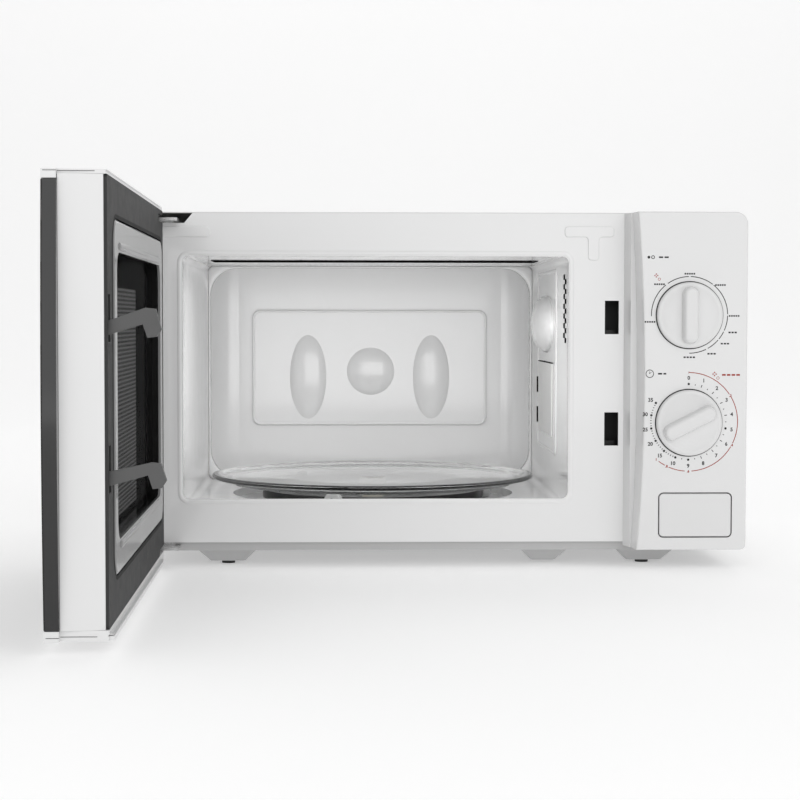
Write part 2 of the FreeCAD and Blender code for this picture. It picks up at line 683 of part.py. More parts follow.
# ---------------------------------------------------------------- electrics
def make_microwave_supply():
    """Magnetron, waveguide, transformer, capacitor and diode, in the bay beside the cavity."""
    duct = box("duct", ("cavity_right + sheet", "133"), ("-62", "36"), ("92", "142"))
    room = box("duct_room", ("cavity_right - 5", "132.2"), ("-61.2", "35.2"), ("92.8", "141.2"))
    port = rod("duct_port", "x", "11", ("128", "140"), "port_y", "port_z")
    keep(cut("duct_cut", duct, room, port), "waveguide")
    mica = box("mica", ("cavity_right - 1.2", "cavity_right - 0.2"), ("-60.5", "38.5"), ("89", "146"))
    keep(mica, "waveguide_cover")
    shell = box("magnetron_shell", ("134", "206"), ("-42", "50"), ("80", "158"))
    bore = box("magnetron_air", ("137", "203"), ("-60", "60"), ("86", "152"))
    plate = box("magnetron_foot", ("133", "134"), ("-48", "56"), ("92", "142"))
    neck = rod("magnetron_neck", "x", "13", ("203", "206"), "port_y", "port_z")
    anode = rod("magnetron_anode", "x", "18", ("137", "203"), "port_y", "anode_z")
    antenna = rod("antenna", "x", "8", ("110", "137"), "port_y", "port_z")
    keep(fuse("magnetron", cut("magnetron_shell_cut", shell, bore), plate, neck, anode, antenna),
         "magnetron_housing")
    fins = []
    for place in range(9):
        x = f"{145 + 6.2 * place:.1f}"
        fin = box(f"fin_{place}", (x, f"{x} + 0.6"), ("-40", "48"), ("86.4", "151.6"))
        hole = rod(f"fin_hole_{place}", "x", "18.1", (f"{x} - 1", f"{x} + 2"), "port_y", "anode_z")
        fins.append(cut(f"fin_cut_{place}", fin, hole))
    keep(group("fins", fins), "magnetron_fins")
    core = box("core", ("114", "204"), ("-52", "8"), ("base_low + sheet", "72"))
    for side, x in (("a", "134"), ("b", "168")):
        gap = box(f"core_gap_{side}", (x, f"{x} + 16"), ("-60", "16"), ("26", "60"))
        core = cut(f"core_cut_{side}", core, gap)
    keep(core, "transformer_core")
    winding = new_body("winding_body")
    face = sketch_on(winding, "XZ_Plane", "-20", "winding_outline")
    rounded(face, "134.4", "183.6", "26.4", "59.6", "7")
    pad(winding, face, "84", "winding_block")
    limb = box("winding_limb", ("149.8", "168.2"), ("-53", "9"), ("20", "66"))
    keep(cut("winding_cut", winding, limb), "transformer_windings")
    keep(rod("can", "x", "can_radius", ("112", "196"), "can_y", "can_z"), "hv_capacitor")
    band = rod("band", "x", "can_radius + 1.4", ("146", "160"), "can_y", "can_z")
    stand = box("band_stand", ("146", "160"), ("can_y - 20.6", "can_y + 20.6"),
                ("base_low + sheet", "can_z"))
    seat = rod("band_hole", "x", "can_radius", ("140", "166"), "can_y", "can_z")
    keep(cut("band_cut", fuse("band_solid", band, stand), seat), "capacitor_clamp")
    barrel = rod("diode_barrel", "y", "3.2", "diode_x", ("60", "82"), "diode_z")
    leads = rod("diode_leads", "y", "0.7", "diode_x", ("46", "96"), "diode_z")
    tab = box("diode_lug", ("diode_x - 5", "diode_x + 5"), ("94", "95"), ("base_low + sheet", "29"))
    lug = cut("diode_lug_cut", tab, rod("diode_lug_hole", "y", "0.7", "diode_x", ("90", "99"), "diode_z"))
    keep(group("diode", [fuse("diode_solid", barrel, leads), lug]), "hv_diode")


def make_airflow():
    """Fan with its shroud and motor, and the duct that leads air past the lamp."""
    plate = box("shroud_plate", ("103", "215"), ("142", "143.5"), ("128", "232"))
    rim = rod("shroud_rim", "y", "51", "fan_x", ("142", "163"), "fan_z")
    bore = rod("shroud_bore", "y", "49.5", "fan_x", ("130", "170"), "fan_z")
    arm = box("shroud_arm", ("103", "215"), ("136", "138"), ("172", "188"))
    posts = [box(f"shroud_post_{x}", (x, f"{x} + 4"), ("138", "142"), ("172", "188"))
             for x in ("103", "211")]
    shaft_hole = rod("arm_hole", "y", "6", "fan_x", ("130", "140"), "fan_z")
    ring = cut("shroud_ring", fuse("shroud_solid", plate, rim), bore)
    keep(fuse("shroud", ring, cut("arm_cut", arm, shaft_hole), *posts), "fan_shroud")
    stack = box("fan_stack", ("140", "178"), ("116", "136"), ("160", "196"))
    coil_block = box("fan_coil", ("146", "172"), ("112", "136"), ("196", "212"))
    keep(cut("fan_motor_cut", fuse("fan_motor_solid", stack, cut("fan_coil_cut", coil_block,
             box("fan_coil_limit", ("140", "fan_z"), ("136", "150"), ("190", "220")))),
             rod("fan_bearing", "y", "2.05", "fan_x", ("110", "150"), "fan_z")), "fan_motor")
    hub = rod("fan_hub", "y", "9", "fan_x", ("146", "158"), "fan_z")
    shaft = rod("fan_shaft", "y", "2", "fan_x", ("118", "146"), "fan_z")
    blades = []
    for place in range(5):
        blade = Part.makeBox(38, 1.4, 22, Vector(7, -0.7, -11))
        blade.rotate(Vector(), Vector(1, 0, 0), 28)
        blade.rotate(Vector(), Vector(0, 1, 0), -72 * place)
        blade.translate(Vector(SIZES["fan_x"], 152, SIZES["fan_z"]))
        blades.append(set_shape(f"fan_vane_{place}", blade))
    keep(fuse("fan", hub, shaft, *blades), "fan_blade")
    outer = box("air_block", ("cavity_right + sheet", "112"), ("-152", "-66"), ("150", "222"))
    inner = box("air_room", ("cavity_right - 4", "111"), ("-151", "-60"), ("151", "221"))
    port = rod("lamp_port", "x", "9.5", ("108", "116"), "lamp_y", "lamp_z")
    keep(cut("air_cut", outer, inner, port), "air_duct")
    bulb = fuse("bulb_solid", rod("bulb_neck", "x", "6.5", ("104", "113.2"), "lamp_y", "lamp_z"),
                rod("bulb_top", "x", "5.2", ("99", "104"), "lamp_y", "lamp_z", top_radius="6.5"))
    keep(bulb, "oven_lamp")
    base = rod("lamp_base", "x", "11", ("112", "121.5"), "lamp_y", "lamp_z")
    socket = rod("lamp_socket", "x", "6.6", ("110", "113.2"), "lamp_y", "lamp_z")
    keep(cut("lamp_base_cut", base, socket), "lamp_holder")


def make_controls_inside():
    """Filter board, cut-out, turntable motor, timer and power selector."""
    board = box("board", ("150", "212"), ("135", "136.6"), ("68", "122"))
    choke_a = rod("choke_a", "y", "9", "166", ("122", "135"), "84")
    choke_b = rod("choke_b", "y", "9", "196", ("122", "135"), "84")
    fuse_tube = rod("fuse_tube", "x", "3", ("162", "192"), "129", "108")
    clips = [box(f"clip_{x}", (x, f"{x} + 4"), ("128", "135"), ("105", "111")) for x in ("160", "190")]
    cap = box("x_capacitor", ("156", "182"), ("124", "135"), ("114", "121"))
    keep(fuse("board_solid", board, choke_a, choke_b, fuse_tube, cap, *clips), "filter_board")
    keep(fuse("cutout", rod("cutout_disc", "z", "8", "172", "4", ("158", "164")),
              box("cutout_tab_a", ("164", "168"), ("3", "5"), ("164", "172")),
              box("cutout_tab_b", ("176", "180"), ("3", "5"), ("164", "172"))), "thermal_cutout")
    can = rod("turn_can", "z", "24.5", "turn_x", "turn_y", ("18", "dish_z - sheet"))
    ears = box("turn_ears", ("turn_x - 33", "turn_x + 33"), ("turn_y - 6", "turn_y + 6"),
               ("dish_z - sheet - 1.5", "dish_z - sheet"))
    keep(cut("turn_motor", fuse("turn_motor_solid", can, ears),
             rod("turn_bearing", "z", "3.55", "turn_x", "turn_y", ("22", "40"))), "turntable_motor")
    for label, z, deep in (("power_selector", "power_z", "-142"), ("timer_body", "timer_z", "-132")):
        case = box(label + "_case", ("knob_x - 23", "knob_x + 23"), ("panel_front + 4", deep),
                   (f"{z} - 23", f"{z} + 23"))
        tabs = [box(f"{label}_tab_{i}", (x, f"{x} + 1"), (deep, f"{deep} + 8"), (f"{z} - 12", f"{z} - 6"))
                for i, x in enumerate(("knob_x - 14", "knob_x", "knob_x + 13"))]
        hole = rod(label + "_hole", "y", "shaft_radius + running", "knob_x",
                   ("panel_front", "panel_front + 24"), z)
        keep(cut(label + "_cut", fuse(label + "_solid", case, *tabs), hole), label)


def make_interlock():
    """Latch bracket behind the slots with its catches, three switches and the lever's pivot."""
    channel = box("channel", ("116", "139"), ("front_y + sheet", "-120"), ("62", "204"))
    room = box("channel_room", ("118.5", "136.5"), ("front_y - 5", "-122.5"), ("64.5", "201.5"))
    side = box("channel_side", ("130", "145"), ("front_y - 5", "-140"), ("64.5", "100"))
    catches = []
    for drop in ("0", "slot_drop"):
        lip = box(f"catch_{drop}", ("120", "130.9"), ("-145.8", "-143.6"),
                  (f"slot_low - 14 - {drop}", f"slot_low + 2.8 - {drop}"))
        web = box(f"catch_web_{drop}", ("118.5", "130.9"), ("-145.8", "-143.6"),
                  (f"slot_low - 14 - {drop}", f"slot_low - 6 - {drop}"))
        catches += [lip, web]
    body = cut("bracket_shell", channel, room, side)
    mid = cut("catch_relief", fuse("catches_solid", *catches),
              box("lever_way", ("121.8", "131"), ("-150", "-140"), ("60", "88.2")))
    pin = rod("lever_pin", "x", "2.2", ("118.5", "136.5"), "lever_y", "lever_z")
    keep(fuse("bracket", body, mid, pin), "interlock_bracket")
    switches = []
    for name, z in (("primary", "176"), ("monitor", "148"), ("secondary", "108")):
        case = box(f"switch_{name}", ("139", "149.5"), ("-156", "-128"), (f"{z} - 8", f"{z} + 8"))
        tab = box(f"switch_tab_{name}", ("142", "146"), ("-128", "-121"), (f"{z} - 4", f"{z} - 3.2"))
        switches.append(fuse(f"switch_solid_{name}", case, tab))
    keep(group("switches", switches), "interlock_switches")
    hub = rod("lever_hub", "x", "4.8", ("119", "150"), "lever_y", "lever_z")
    thumb = box("lever_thumb", ("146", "166"), ("lever_y - 4", "lever_y + 1"), ("34", "lever_z + 3"))
    finger = box("lever_finger", ("124", "128.6"), ("lever_y", "lever_y + 19"),
                 ("lever_z - 2.5", "lever_z + 2.5"))
    tip = box("lever_tip", ("124", "128.6"), ("lever_y + 13", "lever_y + 19"), ("lever_z + 2.5", "85.5"))
    bore = rod("lever_bore", "x", "2.2 + running", ("110", "170"), "lever_y", "lever_z")
    keep(cut("lever_cut", fuse("lever_solid", hub, thumb, finger, tip), bore), "release_lever")
    spring = coil(5.8, 0.5, 1.3, 3)
    spring.rotate(Vector(), Vector(0, 1, 0), 90)
    spring.translate(Vector(131.5, SIZES["lever_y"], SIZES["lever_z"]))
    keep(set_shape("lever_coil", spring), "lever_spring")


# ---------------------------------------------------------------- control panel
def panel_section(body, offset, left_end, left_mid, name):
    """Outline of the panel at one depth, its left side bowed between the two given places."""
    sketch = sketch_on(body, "XZ_Plane", offset, name)
    mid_z = "(panel_low + panel_top) / 2"
    corners = [(left_end, "panel_low"), ("panel_right", "panel_low"), ("panel_right", "panel_top"),
               (left_end, "panel_top")]
    spots = [Vector(number(u), number(v), 0) for u, v in corners]
    for i in range(3):
        sketch.addGeometry(Part.LineSegment(spots[i], spots[i + 1]))
    bow = Part.Arc(spots[3], Vector(number(left_mid), number(mid_z), 0), spots[0])
    sketch.addGeometry(bow)
    for i in range(2):
        sketch.addConstraint(Sketcher.Constraint("Coincident", i, 2, i + 1, 1))
    sketch.addConstraint(Sketcher.Constraint("Coincident", 2, 2, 3, 2))
    sketch.addConstraint(Sketcher.Constraint("Coincident", 0, 1, 3, 1))
    for i in range(3):
        place_point(sketch, i, 1, corners[i], f"c{i}")
    place_point(sketch, 2, 2, corners[3], "c3")
    rise = "(panel_top - panel_low) / 2"
    sag = f"({left_mid}) - ({left_end})"
    radius = f"(({rise}) ^ 2 + ({sag}) ^ 2) / (2 * ({sag}))"
    index = sketch.addConstraint(Sketcher.Constraint("Radius", 3, number(radius)))
    sketch.renameConstraint(index, "bow")
    sketch.setExpression("Constraints.bow", bound(radius))
    return sketch


def make_panel():
    """Moulded front of the controls: a stepped hollow shell with recesses for dials and button."""
    body = new_body("panel_body")
    rear = sketch_on(body, "XZ_Plane", "-front_y", "panel_rear")
    polygon(rear, [("panel_left", "panel_low"), ("panel_right", "panel_low"),
                   ("panel_right", "panel_top"), ("panel_left", "panel_top")])
    step = sketch_on(body, "XZ_Plane", "-panel_ledge", "panel_step")
    polygon(step, [("panel_left + 3.2", "panel_low"), ("panel_right", "panel_low"),
                   ("panel_right", "panel_top"), ("panel_left + 3.2", "panel_top")])
    first = body.newObject("PartDesign::AdditiveLoft", "panel_back_layer")
    first.Profile = rear
    first.Sections = [step]
    first.Ruled = True
    doc.recompute()
    near = panel_section(body, "-panel_ledge", "139.6", "143.2", "panel_near")
    far = panel_section(body, "-panel_front", "141", "146", "panel_far")
    second = body.newObject("PartDesign::AdditiveLoft", "panel_front_layer")
    second.Profile = near
    second.Sections = [far]
    second.Ruled = True
    doc.recompute()

    def on_right(edge):
        """Long edges along the panel's right-hand corners."""
        return edge.BoundBox.YLength > 10 and edge.BoundBox.XMin > number("panel_right - 0.1")

    def right_top(edge):
        """The upper of the two."""
        return on_right(edge) and edge.BoundBox.ZMin > number("panel_top - 0.1")

    def right_low(edge):
        """The lower of the two."""
        return on_right(edge) and edge.BoundBox.ZMax < number("panel_low + 0.1")

    one = round_edges(body, second, "9", "panel_corner_top", right_top)
    two = round_edges(body, one, "4", "panel_corner_low", right_low)
    round_edges(body, two, "1.2", "panel_front_soft", lies_at("Y", "panel_front"))
    wide = sketch_on(body, "XZ_Plane", "-front_y - 1", "panel_hollow_wide")
    rounded(wide, "panel_left + 5.5", "panel_right - panel_wall", "panel_low + panel_wall",
            "panel_top - panel_wall", "2.5")
    pocket(body, wide, "front_y - panel_ledge - panel_wall + 1", "panel_hollow_back", reverse=True)
    deep = sketch_on(body, "XZ_Plane", "-front_y - 1", "panel_hollow_deep")
    rounded(deep, "149", "panel_right - panel_wall", "panel_low + panel_wall",
            "panel_top - panel_wall", "3.5")
    pocket(body, deep, "front_y - panel_front - panel_wall + 1", "panel_hollow_front", reverse=True)
    dials = sketch_on(body, "XZ_Plane", "-panel_front + 1", "panel_dial_recess")
    for z in ("power_z", "timer_z"):
        disc(dials, ("knob_x", z), "knob_radius + 0.8")
    pocket(body, dials, "2", "panel_dials")
    shafts = sketch_on(body, "XZ_Plane", "-panel_front + 1", "panel_shaft_holes")
    for z in ("power_z", "timer_z"):
        disc(shafts, ("knob_x", z), "4.2")
    pocket(body, shafts, "8", "panel_shafts")
    press = sketch_on(body, "XZ_Plane", "-panel_front + 1", "panel_button_hole")
    rounded(press, "button_left - 0.8", "button_right + 0.8", "button_low - 0.8", "button_top + 0.8", "3.8")
    pocket(body, press, "8", "panel_button")
    keep(body, "control_panel")


def make_dial(label, z, pointer_deg):
    """Dial with a low skirt, a raised grip bar and a hub on its shaft."""
    body = new_body(label + "_body")
    face = sketch_on(body, "XZ_Plane", "-panel_front - 0.6", label + "_skirt")
    disc(face, ("axis_shift", "axis_shift"), "knob_radius")
    skirt = pad(body, face, "knob_height + 0.6", label + "_disc")
    round_edges(body, skirt, "1", label + "_rim", lies_at("Y", "panel_front - knob_height"))
    bar = sketch_on(body, "XZ_Plane", "-panel_front + knob_height", label + "_bar")
    rounded(bar, "-grip_width / 2", "grip_width / 2", "-grip_length / 2", "grip_length / 2",
            "grip_width / 2 - 0.6")
    grip = pad(body, bar, "grip_height - knob_height", label + "_grip")
    round_edges(body, grip, "2", label + "_grip_soft", lies_at("Y", "panel_front - grip_height"))
    hole = sketch_on(body, "XZ_Plane", "-panel_front - 2", label + "_shaft_hole")
    disc(hole, ("axis_shift", "axis_shift"), "shaft_radius + 0.02")
    pocket(body, hole, "8", label + "_bore", reverse=True)
    body.Placement = Placement(Vector(), Rotation(Vector(0, 1, 0), pointer_deg))
    drive(body, Placement__Base__x="knob_x", Placement__Base__z=z)
    doc.recompute()
    keep(body, label)
    shaft = rod(label + "_stem", "y", "shaft_radius", "knob_x", ("panel_front - 6", "panel_front + 22"), z)
    keep(shaft, label.replace("knob", "shaft"))


def make_button():
    """Door release button with bowed sides and a stem that reaches the release lever."""
    body = new_body("button_body")
    face = sketch_on(body, "XZ_Plane", "-panel_front - 7", "button_face")
    rounded(face, "button_left", "button_right", "button_low", "button_top", "3")
    cap = pad(body, face, "7.4", "button_cap")
    round_edges(body, cap, "0.9", "button_soft", lies_at("Y", "panel_front - 0.4"))
    hollow = sketch_on(body, "XZ_Plane", "-panel_front - 8", "button_hollow")
    rounded(hollow, "button_left + 2", "button_right - 2", "button_low + 2", "button_top - 2", "2")
    pocket(body, hollow, "6.2", "button_inside", reverse=True)
    stem = sketch_on(body, "XZ_Plane", "-panel_front - 1.5", "button_stem")
    polygon(stem, [("158", "button_low + 12"), ("164", "button_low + 12"), ("164", "button_low + 19"),
                   ("158", "button_low + 19")])
    pad(body, stem, "-155.4 - panel_front - 1.5", "button_stem_long", reverse=True)
    keep(body, "open_button")


# ---------------------------------------------------------------- turntable
def make_turntable():
    """Drive coupler, glass plate with a raised lip, and the roller ring on three wheels."""
    cup = rod("coupler_hub", "z", "8.6", "turn_x", "turn_y", ("dish_z - 0.3", "plate_under"))
    lobes = []
    for place in range(3):
        angle = math.radians(120 * place + 30)
        x = 7.6 * math.cos(angle)
        y = 7.6 * math.sin(angle)
        lobes.append(rod(f"coupler_lobe_{place}", "z", "4.2", f"turn_x + {x:.3f}", f"turn_y + {y:.3f}",
                         ("dish_z + 3", "plate_under")))
    spindle = rod("coupler_spindle", "z", "3.5", "turn_x", "turn_y", ("23", "dish_z"))
    keep(fuse("coupler", cup, spindle, *lobes), "turntable_coupler")
    keep(revolved("plate_body", [
        ("0", "plate_under"), ("plate_radius - 15", "plate_under"),
        ("plate_radius - 9", "plate_top - 4.4"), ("plate_radius - 0.8", "plate_top - 3.4"),
        ("plate_radius", "plate_top - 2.6"), ("plate_radius", "plate_top - 0.7"),
        ("plate_radius - 0.7", "plate_top"), ("plate_radius - 5", "plate_top - 0.2"),
        ("plate_radius - 14", "plate_under + 4.4"), ("0", "plate_under + 4.4"),
    ], "turn_x", "turn_y"), "glass_plate")
    ring = cut("ring_band", rod("ring_outer", "z", "ring_radius + 2.4", "turn_x", "turn_y",
                                ("dish_z + 3", "dish_z + 9.5")),
               rod("ring_inner", "z", "ring_radius - 2.4", "turn_x", "turn_y",
                   ("dish_z + 1", "dish_z + 12")))
    axle_z = SIZES["dish_z"] + SIZES["wheel_radius"] + 0.1
    centre = Vector(SIZES["turn_x"], SIZES["turn_y"], 0)
    middle = SIZES["wheel_path"]
    half = SIZES["wheel_width"] / 2
    pins = []
    wheels = []
    for place, bearing in enumerate(WHEEL_BEARING_DEG, start=1):
        out = Rotation(Vector(0, 0, 1), bearing)

        def turned(shape, start):
            """The shape laid along its wheel's axle, that far out from the middle."""
            shape.Placement = Placement(Vector(start, 0, axle_z), Rotation(Vector(0, 1, 0), 90))
            moved = shape.copy()
            moved.Placement = Placement(centre, out).multiply(shape.Placement)
            return moved

        inner = SIZES["ring_radius"] + 2.0
        pin = turned(Part.makeCylinder(1.6, middle + half + 1.0 - inner), inner)
        head = turned(Part.makeCylinder(2.5, 1.0), middle + half + 0.3)
        shoulder = turned(Part.makeCylinder(3.2, middle - half - 0.3 - inner), inner)
        pins.append(set_shape(f"ring_pin_{place}", pin.fuse([head, shoulder]).removeSplitter()))
        tyre = Part.makeCylinder(SIZES["wheel_radius"], 2 * half)
        rim = [e for e in tyre.Edges if e.Length > 20]
        tyre = tyre.makeFillet(0.8, rim)
        tyre = tyre.cut(Part.makeCylinder(1.6 + SIZES["running"], 40, Vector(0, 0, -10)))
        wheels.append((set_shape(f"wheel_{place}", turned(tyre, middle - half)), f"roller_wheel_{place}"))
    keep(fuse("ring_with_pins", ring, *pins), "roller_ring")
    for wheel, label in wheels:
        keep(wheel, label)


# ---------------------------------------------------------------- door
def make_hinges():
    """Two steel brackets that reach out of the casing, and the pins the door turns on."""
    brackets = []
    pins = []
    for name, z, tab, pin in (
            ("upper", ("250.9", "252.9"), ("226", "252.9"), ("242", "256.4")),
            ("lower", ("14.9", "16.9"), ("14.9", "46"), ("14.9", "31"))):
        flat = box(f"{name}_plate", ("hinge_x - 5.6", "-187"), ("hinge_y - 5", "front_y + 2.6"), z)
        upright = box(f"{name}_tab", ("-214", "-191"), ("front_y + 0.9", "front_y + 2.6"), tab)
        hole = rod(f"{name}_eye", "z", "pin_radius", "hinge_x", "hinge_y", ("0", "300"))
        solid = fuse(f"{name}_bent", flat, upright)
        doc.recompute()
        brackets.append(cut(f"{name}_bracket", solid, hole))
        pins.append(rod(f"{name}_pin", "z", "pin_radius", "hinge_x", "hinge_y", pin))
    keep(group("brackets", brackets), "hinge_brackets")
    keep(group("pins", pins), "hinge_pins")


def make_door_front():
    """Dark front plate of the door, a shallow tray whose free edge is bowed to meet the panel."""
    body = new_body("door_front_body")
    low = "door_low + 0.2"
    top = "door_top - 2.8"
    face = sketch_on(body, "XZ_Plane", "-glass_back", "door_front_outline")
    places = [("door_left", low), ("door_edge", low), ("door_edge", top), ("door_left", top)]
    spots = [Vector(number(u), number(v), 0) for u, v in places]
    bulge = Vector(number("door_edge + door_bow"), (spots[1].y + spots[2].y) / 2, 0)
    face.addGeometry(Part.LineSegment(spots[0], spots[1]))
    face.addGeometry(Part.Arc(spots[1], bulge, spots[2]))
    face.addGeometry(Part.LineSegment(spots[2], spots[3]))
    face.addGeometry(Part.LineSegment(spots[3], spots[0]))
    for i in range(4):
        face.addConstraint(Sketcher.Constraint("Coincident", i, 2, (i + 1) % 4, 1))
    place_point(face, 0, 1, places[0], "a")
    place_point(face, 0, 2, places[1], "b")
    place_point(face, 2, 1, places[2], "c")
    place_point(face, 2, 2, places[3], "d")
    radius = "(((door_top - door_low - 3) / 2) ^ 2 + door_bow ^ 2) / (2 * door_bow)"
    index = face.addConstraint(Sketcher.Constraint("Radius", 1, number(radius)))
    face.renameConstraint(index, "bow")
    face.setExpression("Constraints.bow", bound(radius))
    plate = pad(body, face, "glass_back - door_face", "door_front_plate")
    round_edges(body, plate, "1", "door_front_soft", lies_at("Y", "door_face"))
    hollow = sketch_on(body, "XZ_Plane", "-glass_back - 1", "door_front_hollow")
    rounded(hollow, "door_left + 5", "130", "door_low + 8", "door_top - 10", "6")
    pocket(body, hollow, "glass_back - door_face - 3.2 + 1", "door_front_inside", reverse=True)
    keep(body, "door_front", DOOR_SWING)


def make_door_frame():
    """White ring between the door's front and inner face, with blocks that hold the hinge pins."""
    body = new_body("door_frame_body")
    ring = sketch_on(body, "XY_Plane", "door_low", "door_frame_plan")
    polygon(ring, [("door_left", "glass_back + 0.1"), ("door_right + 3", "glass_back + 0.1"),
                   ("door_right", "door_inner - 1.9"), ("door_left", "door_inner - 1.9")])
    pad(body, ring, "door_top - door_low", "door_frame_block")
    hollow = sketch_on(body, "XZ_Plane", "-glass_back + 1", "door_frame_hollow")
    rounded(hollow, "door_left + 22", "door_right - 3.4", "door_low + 3", "door_top - 3", "3")
    pocket(body, hollow, "40", "door_frame_inside")
    corner = sketch_on(body, "XY_Plane", "door_low", "door_frame_corner")
    polygon(corner, [("door_left - 1", "door_inner - 5.9"), ("door_left + 0.6", "door_inner - 5.9"),
                     ("door_left + 4.6", "door_inner - 1.9"), ("door_left + 4.6", "door_inner + 1"),
                     ("door_left - 1", "door_inner + 1")])
    pocket(body, corner, "300", "door_frame_clear", reverse=True)
    core = sketch_on(body, "XZ_Plane", "-glass_back + 1", "door_frame_core")
    rounded(core, "door_left + 3", "door_left + 23", "door_low + 24", "door_top - 24", "2")
    pocket(body, core, "40", "door_frame_core_cut")
    doc.recompute()
    tools = [
        box("upper_hinge_room", ("door_left - 1", "-183"), ("hinge_y - 11", "door_inner + 2"),
            ("249.4", "254.4")),
        box("lower_hinge_room", ("door_left - 1", "-183"), ("hinge_y - 11", "door_inner + 2"),
            ("door_low - 2", "18.4")),
        rod("upper_pin_hole", "z", "pin_radius + running", "hinge_x", "hinge_y", ("241.5", "256.9")),
        rod("lower_pin_hole", "z", "pin_radius + running", "hinge_x", "hinge_y", ("13", "31.5")),
    ]
    keep(cut("door_frame_cut", body, *tools), "door_frame", DOOR_SWING)


def make_door_trims():
    """Caps along the top and bottom of the door, each with a fine groove, the lower one deeper."""
    caps = []
    top = fuse("cap_top_solid",
               box("cap_top", ("door_left", "door_right + 0.6"), ("door_face", "door_inner"),
                   ("door_top + 0.1", "door_top + 2.6")),
               box("cap_top_lip", ("door_left", "139.4"), ("door_face", "glass_back - 0.3"),
                   ("door_top - 2.5", "door_top + 2.6")))
    bottom = fuse("cap_low_solid",
                  box("cap_low", ("door_left", "door_right + 0.6"), ("door_face", "door_inner"),
                      ("door_low - 5.9", "door_low - 0.1")),
                  box("cap_low_lip", ("door_left", "139.4"), ("door_face", "glass_back - 0.3"),
                      ("door_low - 5.9", "door_low")),
                  box("cap_low_ledge", ("door_left + 34", "door_right - 1"),
                      ("door_inner", "door_inner + 2.4"), ("door_low - 5.9", "door_low - 2.4")))
    for name, solid, z in (("top", top, "door_top + 1.1"), ("low", bottom, "door_low - 3.4")):
        groove = box(f"cap_{name}_groove", ("door_left + 30", "150"),
                     ("door_inner - 0.5", "door_inner + 6"), (z, f"{z} + 0.7"))
        edge = box(f"cap_{name}_edge", ("door_left - 1", "hinge_x"), ("hinge_y + 4", "door_inner + 1"),
                   ("0", "300"))
        clear = rod(f"cap_{name}_corner", "z", "13.4", "hinge_x", "hinge_y", ("0", "300"))
        caps.append(cut(f"cap_{name}_cut", solid, groove, cut(f"cap_{name}_edge_off", edge, clear)))
    keep(group("caps", caps), "door_trims", DOOR_SWING)


def make_door_inside():
    """Choke cover, painted inner panel with its window, the perforated screen and a clear film."""
    cover = new_body("choke_body")
    face = sketch_on(cover, "XZ_Plane", "-door_inner + 1.8", "choke_outline")
    rounded(face, "door_left + 4.6", "door_right - 0.3", "door_low + 0.1", "door_top - 0.1", "2.5")
    pad(cover, face, "1.8", "choke_sheet", reverse=True)
    inner = sketch_on(cover, "XZ_Plane", "-door_inner + 3", "choke_inner")
    rounded(inner, "-203.6", "105.6", "37.4", "236.6", "14")
    for drop in ("0", "slot_drop"):
        polygon(inner, [
            ("slot_left + 0.6", f"slot_low - 1.6 - {drop}"),
            ("slot_right - 0.6", f"slot_low - 1.6 - {drop}"),
            ("slot_right - 0.6", f"slot_low + 24 - {drop}"),
            ("slot_left + 0.6", f"slot_low + 24 - {drop}"),
        ])
    pocket(cover, inner, "8", "choke_openings")
    doc.recompute()
    rooms = [box(f"choke_room_{i}", ("door_left", "-183"), ("door_inner - 8", "door_inner + 2"), z)
             for i, z in enumerate((("249.4", "254.4"), ("door_low - 2", "18.4")))]
    keep(cut("choke_cut", cover, *rooms), "choke_cover", DOOR_SWING)

    panel = new_body("inner_panel_body")
    face = sketch_on(panel, "XZ_Plane", "-door_inner + 10.4", "inner_panel_outline")
    rounded(face, "-202.6", "104.6", "38.4", "235.6", "13")
    block = pad(panel, face, "11", "inner_panel_block", reverse=True)
    round_edges(panel, block, "1.6", "inner_panel_soft", lies_at("Y", "door_inner + 0.6"))
    shell = sketch_on(panel, "XZ_Plane", "-door_inner + 11.4", "inner_panel_back")
    rounded(shell, "-201.4", "103.4", "39.6", "234.4", "11.8")
    pocket(panel, shell, "10.6", "inner_panel_hollow")
    walls = sketch_on(panel, "XZ_Plane", "-door_inner + 9.4", "inner_panel_walls")
    rounded(walls, "window_left - 1.2", "window_right + 1.2", "window_low - 1.2", "window_high + 1.2",
            "window_radius + 1.2")
    pad(panel, walls, "9.2", "inner_panel_well", reverse=True)
    window = sketch_on(panel, "XZ_Plane", "-door_inner - 2", "inner_panel_window")
    rounded(window, "window_left", "window_right", "window_low", "window_high", "window_radius")
    pocket(panel, window, "20", "inner_panel_opening", reverse=True)
    keep(panel, "door_inner_panel", DOOR_SWING)
    screen = box("screen", ("window_left - 10", "window_right + 10"),
                 ("door_inner - 11.1", "door_inner - 10.5"), ("window_low - 10", "window_high + 10"))
    keep(group("screen_sheet", [screen]), "door_screen", DOOR_SWING)
    across = ("window_left + 0.6", "window_right - 0.6")
    upward = ("window_low + 0.6", "window_high - 0.6")
    film = box("film", across, ("door_inner - 5.2", "door_inner - 4.7"), upward)
    wedges = corner_wedges(across, upward, "window_radius", ("door_inner - 6", "door_inner - 4"))
    keep(cut("film_sheet", film, group("film_corners", wedges)), "door_film", DOOR_SWING)


